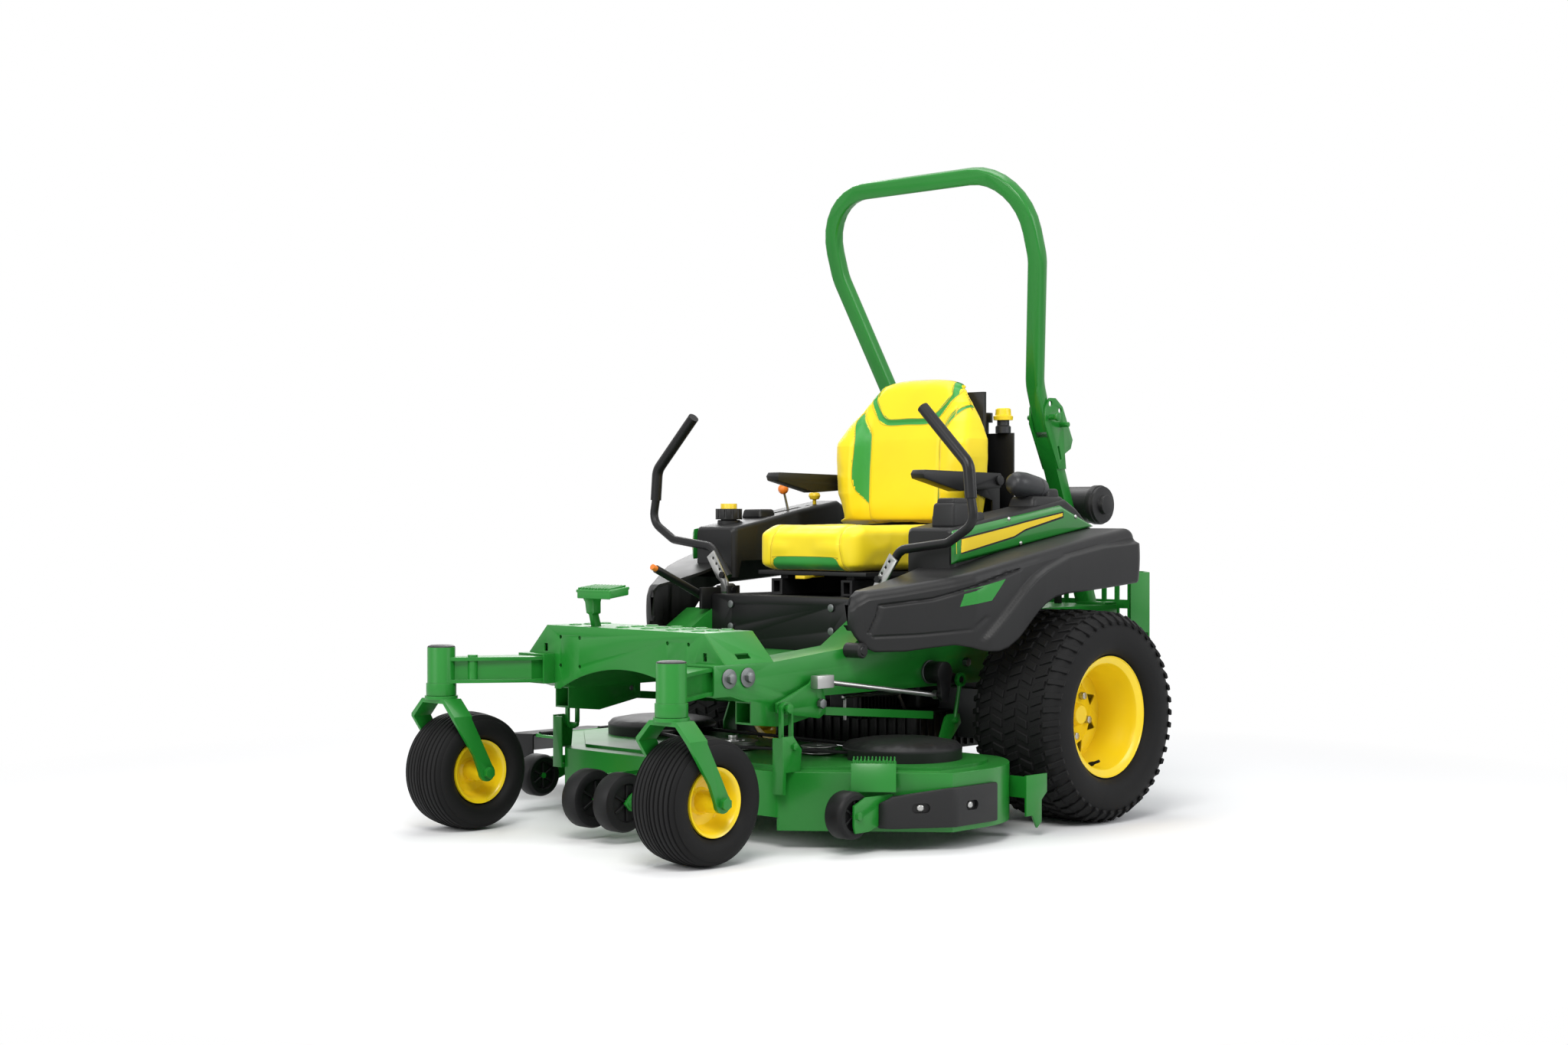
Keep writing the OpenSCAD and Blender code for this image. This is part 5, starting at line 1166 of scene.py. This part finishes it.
# ---- Lift pedal ----
# A pressed foot pedal: a channel stem through the platform and a ribbed pad
# to its left, which raises the deck when it is pushed forward.

stem_rings = []
for z, x0, x1, y0, y1 in ((530, -8, 8, -1118, -1086), (560, -8, 8, -1132, -1104), (606, -8, 8, -1144, -1118),
                          (610, -17, 17, -1145, -1118),
                          (620, -18, 18, -1146, -1119), (640, -18, 20, -1149, -1121),
                          (656, -18, 26, -1160, -1122), (668, -16, 34, -1176, -1122),
                          (675, -12, 40, -1184, -1124)):
    stem_rings.append([at(-167 + x0, y0, z), at(-167 + x1, y0, z), at(-167 + x1, y1, z),
                       at(-167 + x0, y1, z)])
stem = lofted("pedal_stem", stem_rings)
bevelled(stem, 0.003, 3, 40)
pedal_parts = [stem, rounded_block("pedal_pad", (-176, -1190, 668), (-32, -1116, 677), 4),
               rounded_block("pedal_lip", (-170, -1190, 652), (-34, -1184, 672), 3),
               rounded_block("pedal_end", (-38, -1188, 654), (-32, -1120, 674), 3)]
for i in range(10):
    pedal_parts.append(rounded_block("pedal_rib", (-171 + 13.5 * i, -1186, 674),
                                     (-165.5 + 13.5 * i, -1120, 682), 2, segments=2))
for piece in pedal_parts[1:]:
    for vertex in piece.data.vertices:
        vertex.co.z += 0.13 * (vertex.co.y - at(0, -1190, 0).y)
hub = turned("pedal_hub", [(-0.020, 0.0), (-0.020, 0.017), (0.020, 0.017), (0.020, 0.0)],
             at(-167, -1094, 536), 40)
pedal_parts.append(hub)
for piece in pedal_parts:
    mounted(piece, "lift_pedal", green_paint, stands_in=True)

# ---- Lift linkage and engine underside ----
# A flat bar joins the cranks under each rail. Between the rails hang the pump
# with its cooling fins, a guard hoop of bent rod and the engine's belt guard.

for side, turn in sides:
    rings = []
    for y, z in ((-792, 350), (-340, 309)):
        rings.append([millimetres(turn, x, y, z + dz) for x,
                      dz in ((397, -11), (403, -11), (403, 11), (397, 11))])
    bar = lofted("lift_bar_" + side, rings)
    mounted(bar, "lift_rods", green_paint)
pump = rounded_block("pump_body", (40, -392, 284), (150, -214, 372), 10)
pump_parts = [pump]
for i in range(11):
    pump_parts.append(rounded_block("pump_fin", (148, -384 + 15.5 * i, 282), (163, -379 + 15.5 * i, 358), 1.5,
                                    segments=2))
pump_parts.append(rounded_block("belt_guard", (-160, -440, 292), (160, -186, 312), 8))
pump_parts.append(rounded_block("clutch_guard", (-220, -190, 300), (220, 196, 384), 14))
# A wide black ribbed box fills the space between the rails under the engine. It stands partly for engine
# clutter and partly for painted shade, since that space lies in shadow.
pump_parts.append(rounded_block("belly_clutter_and_shade", (-290, -288, 186), (290, 176, 302), 16))
for i in range(15):
    pump_parts.append(rounded_block("belly_clutter_and_shade_rib", (288, -270 + 30 * i, 196), (296, -262 + 30 * i, 296), 2,
                                    segments=2))
    pump_parts.append(rounded_block("belly_clutter_and_shade_rib", (-270 + 37 * i, -295, 196), (-262 + 37 * i, -286, 296), 2,
                                    segments=2))
for piece in pump_parts:
    mounted(piece, "engine_block", black_paint)
rod_line = [at(170, y, z) for y, z in ((-461, 288), (-461, 345), (-450, 356), (-240, 350), (-222, 340),
                                       (-186, 284))]
guard_rod = tube("guard_rod", smooth_path(rod_line, 6), 0.0055, zinc, 3)
mounted(guard_rod, "engine_block", zinc)

# ---- Expansion tank ----
# The coolant tank behind the seat: a dark moulded neck with a yellow cap.

tank_neck = turned("tank_neck", [(0.0, 0.0), (0.0, 0.024), (0.020, 0.024), (0.024, 0.019), (0.042, 0.019),
                                 (0.042, 0.0)], origin, 40)
tank_neck.data.transform(shifted(at(232, 196, 1137)) @ about("Y", -90))
mounted(tank_neck, "rear_shield", grey_plastic)
cap_profile = [(0.0, 0.0), (0.0, 0.030), (0.012, 0.031), (0.015, 0.025), (0.034, 0.0235), (0.037, 0.020),
               (0.037, 0.0)]
tank_cap = turned("tank_cap", cap_profile, origin, 48)
tank_cap.data.transform(shifted(at(232, 196, 1177)) @ about("Y", -90))
mounted(tank_cap, "rear_shield", stripe_yellow)

# ---- Knobs and caps ----
# Moulded knobs in orange and yellow. The throttle's ball sits on a plated rod,
# and the fuel cap's yellow top on a black skirt.

orange = finish("orange_moulding", (0.85, 0.22, 0.02), 0.4)
dressed("lever_button", orange, 0.001)
throttle = dressed("throttle_lever", zinc, 0.001)
throttle.data.materials.append(orange)
ball_bottom_z = 0.949
for face in throttle.data.polygons:
    face.material_index = int(face.center.z > ball_bottom_z)
yellow_plastic = finish("yellow_moulding", (0.88, 0.62, 0.02), 0.38)
for node in ["slide_lever", "blade_knob"]:
    dressed(node, yellow_plastic, 0.002)
cap = dressed("fuel_cap", black_plastic, 0.0015)
cap.data.materials.append(yellow_plastic)
skirt_top_z = 0.9035
for face in cap.data.polygons:
    face.material_index = int(face.center.z > skirt_top_z)

# ---- Swivel caps ----
# Pressed dust caps of black plastic close the tops of the caster swivel tubes.

dome = [(-0.004, 0.0), (-0.004, 0.037), (0.0, 0.0385), (0.003, 0.037), (0.0055, 0.030), (0.0065, 0.0)]
for side, turn in sides:
    dust_cap = turned("swivel_cap_" + side, dome, origin, 48)
    dust_cap.data.transform(shifted(millimetres(turn, 472, -1428, 515)) @ about("Y", -90))
    mounted(dust_cap, "caster_arms", black_plastic)
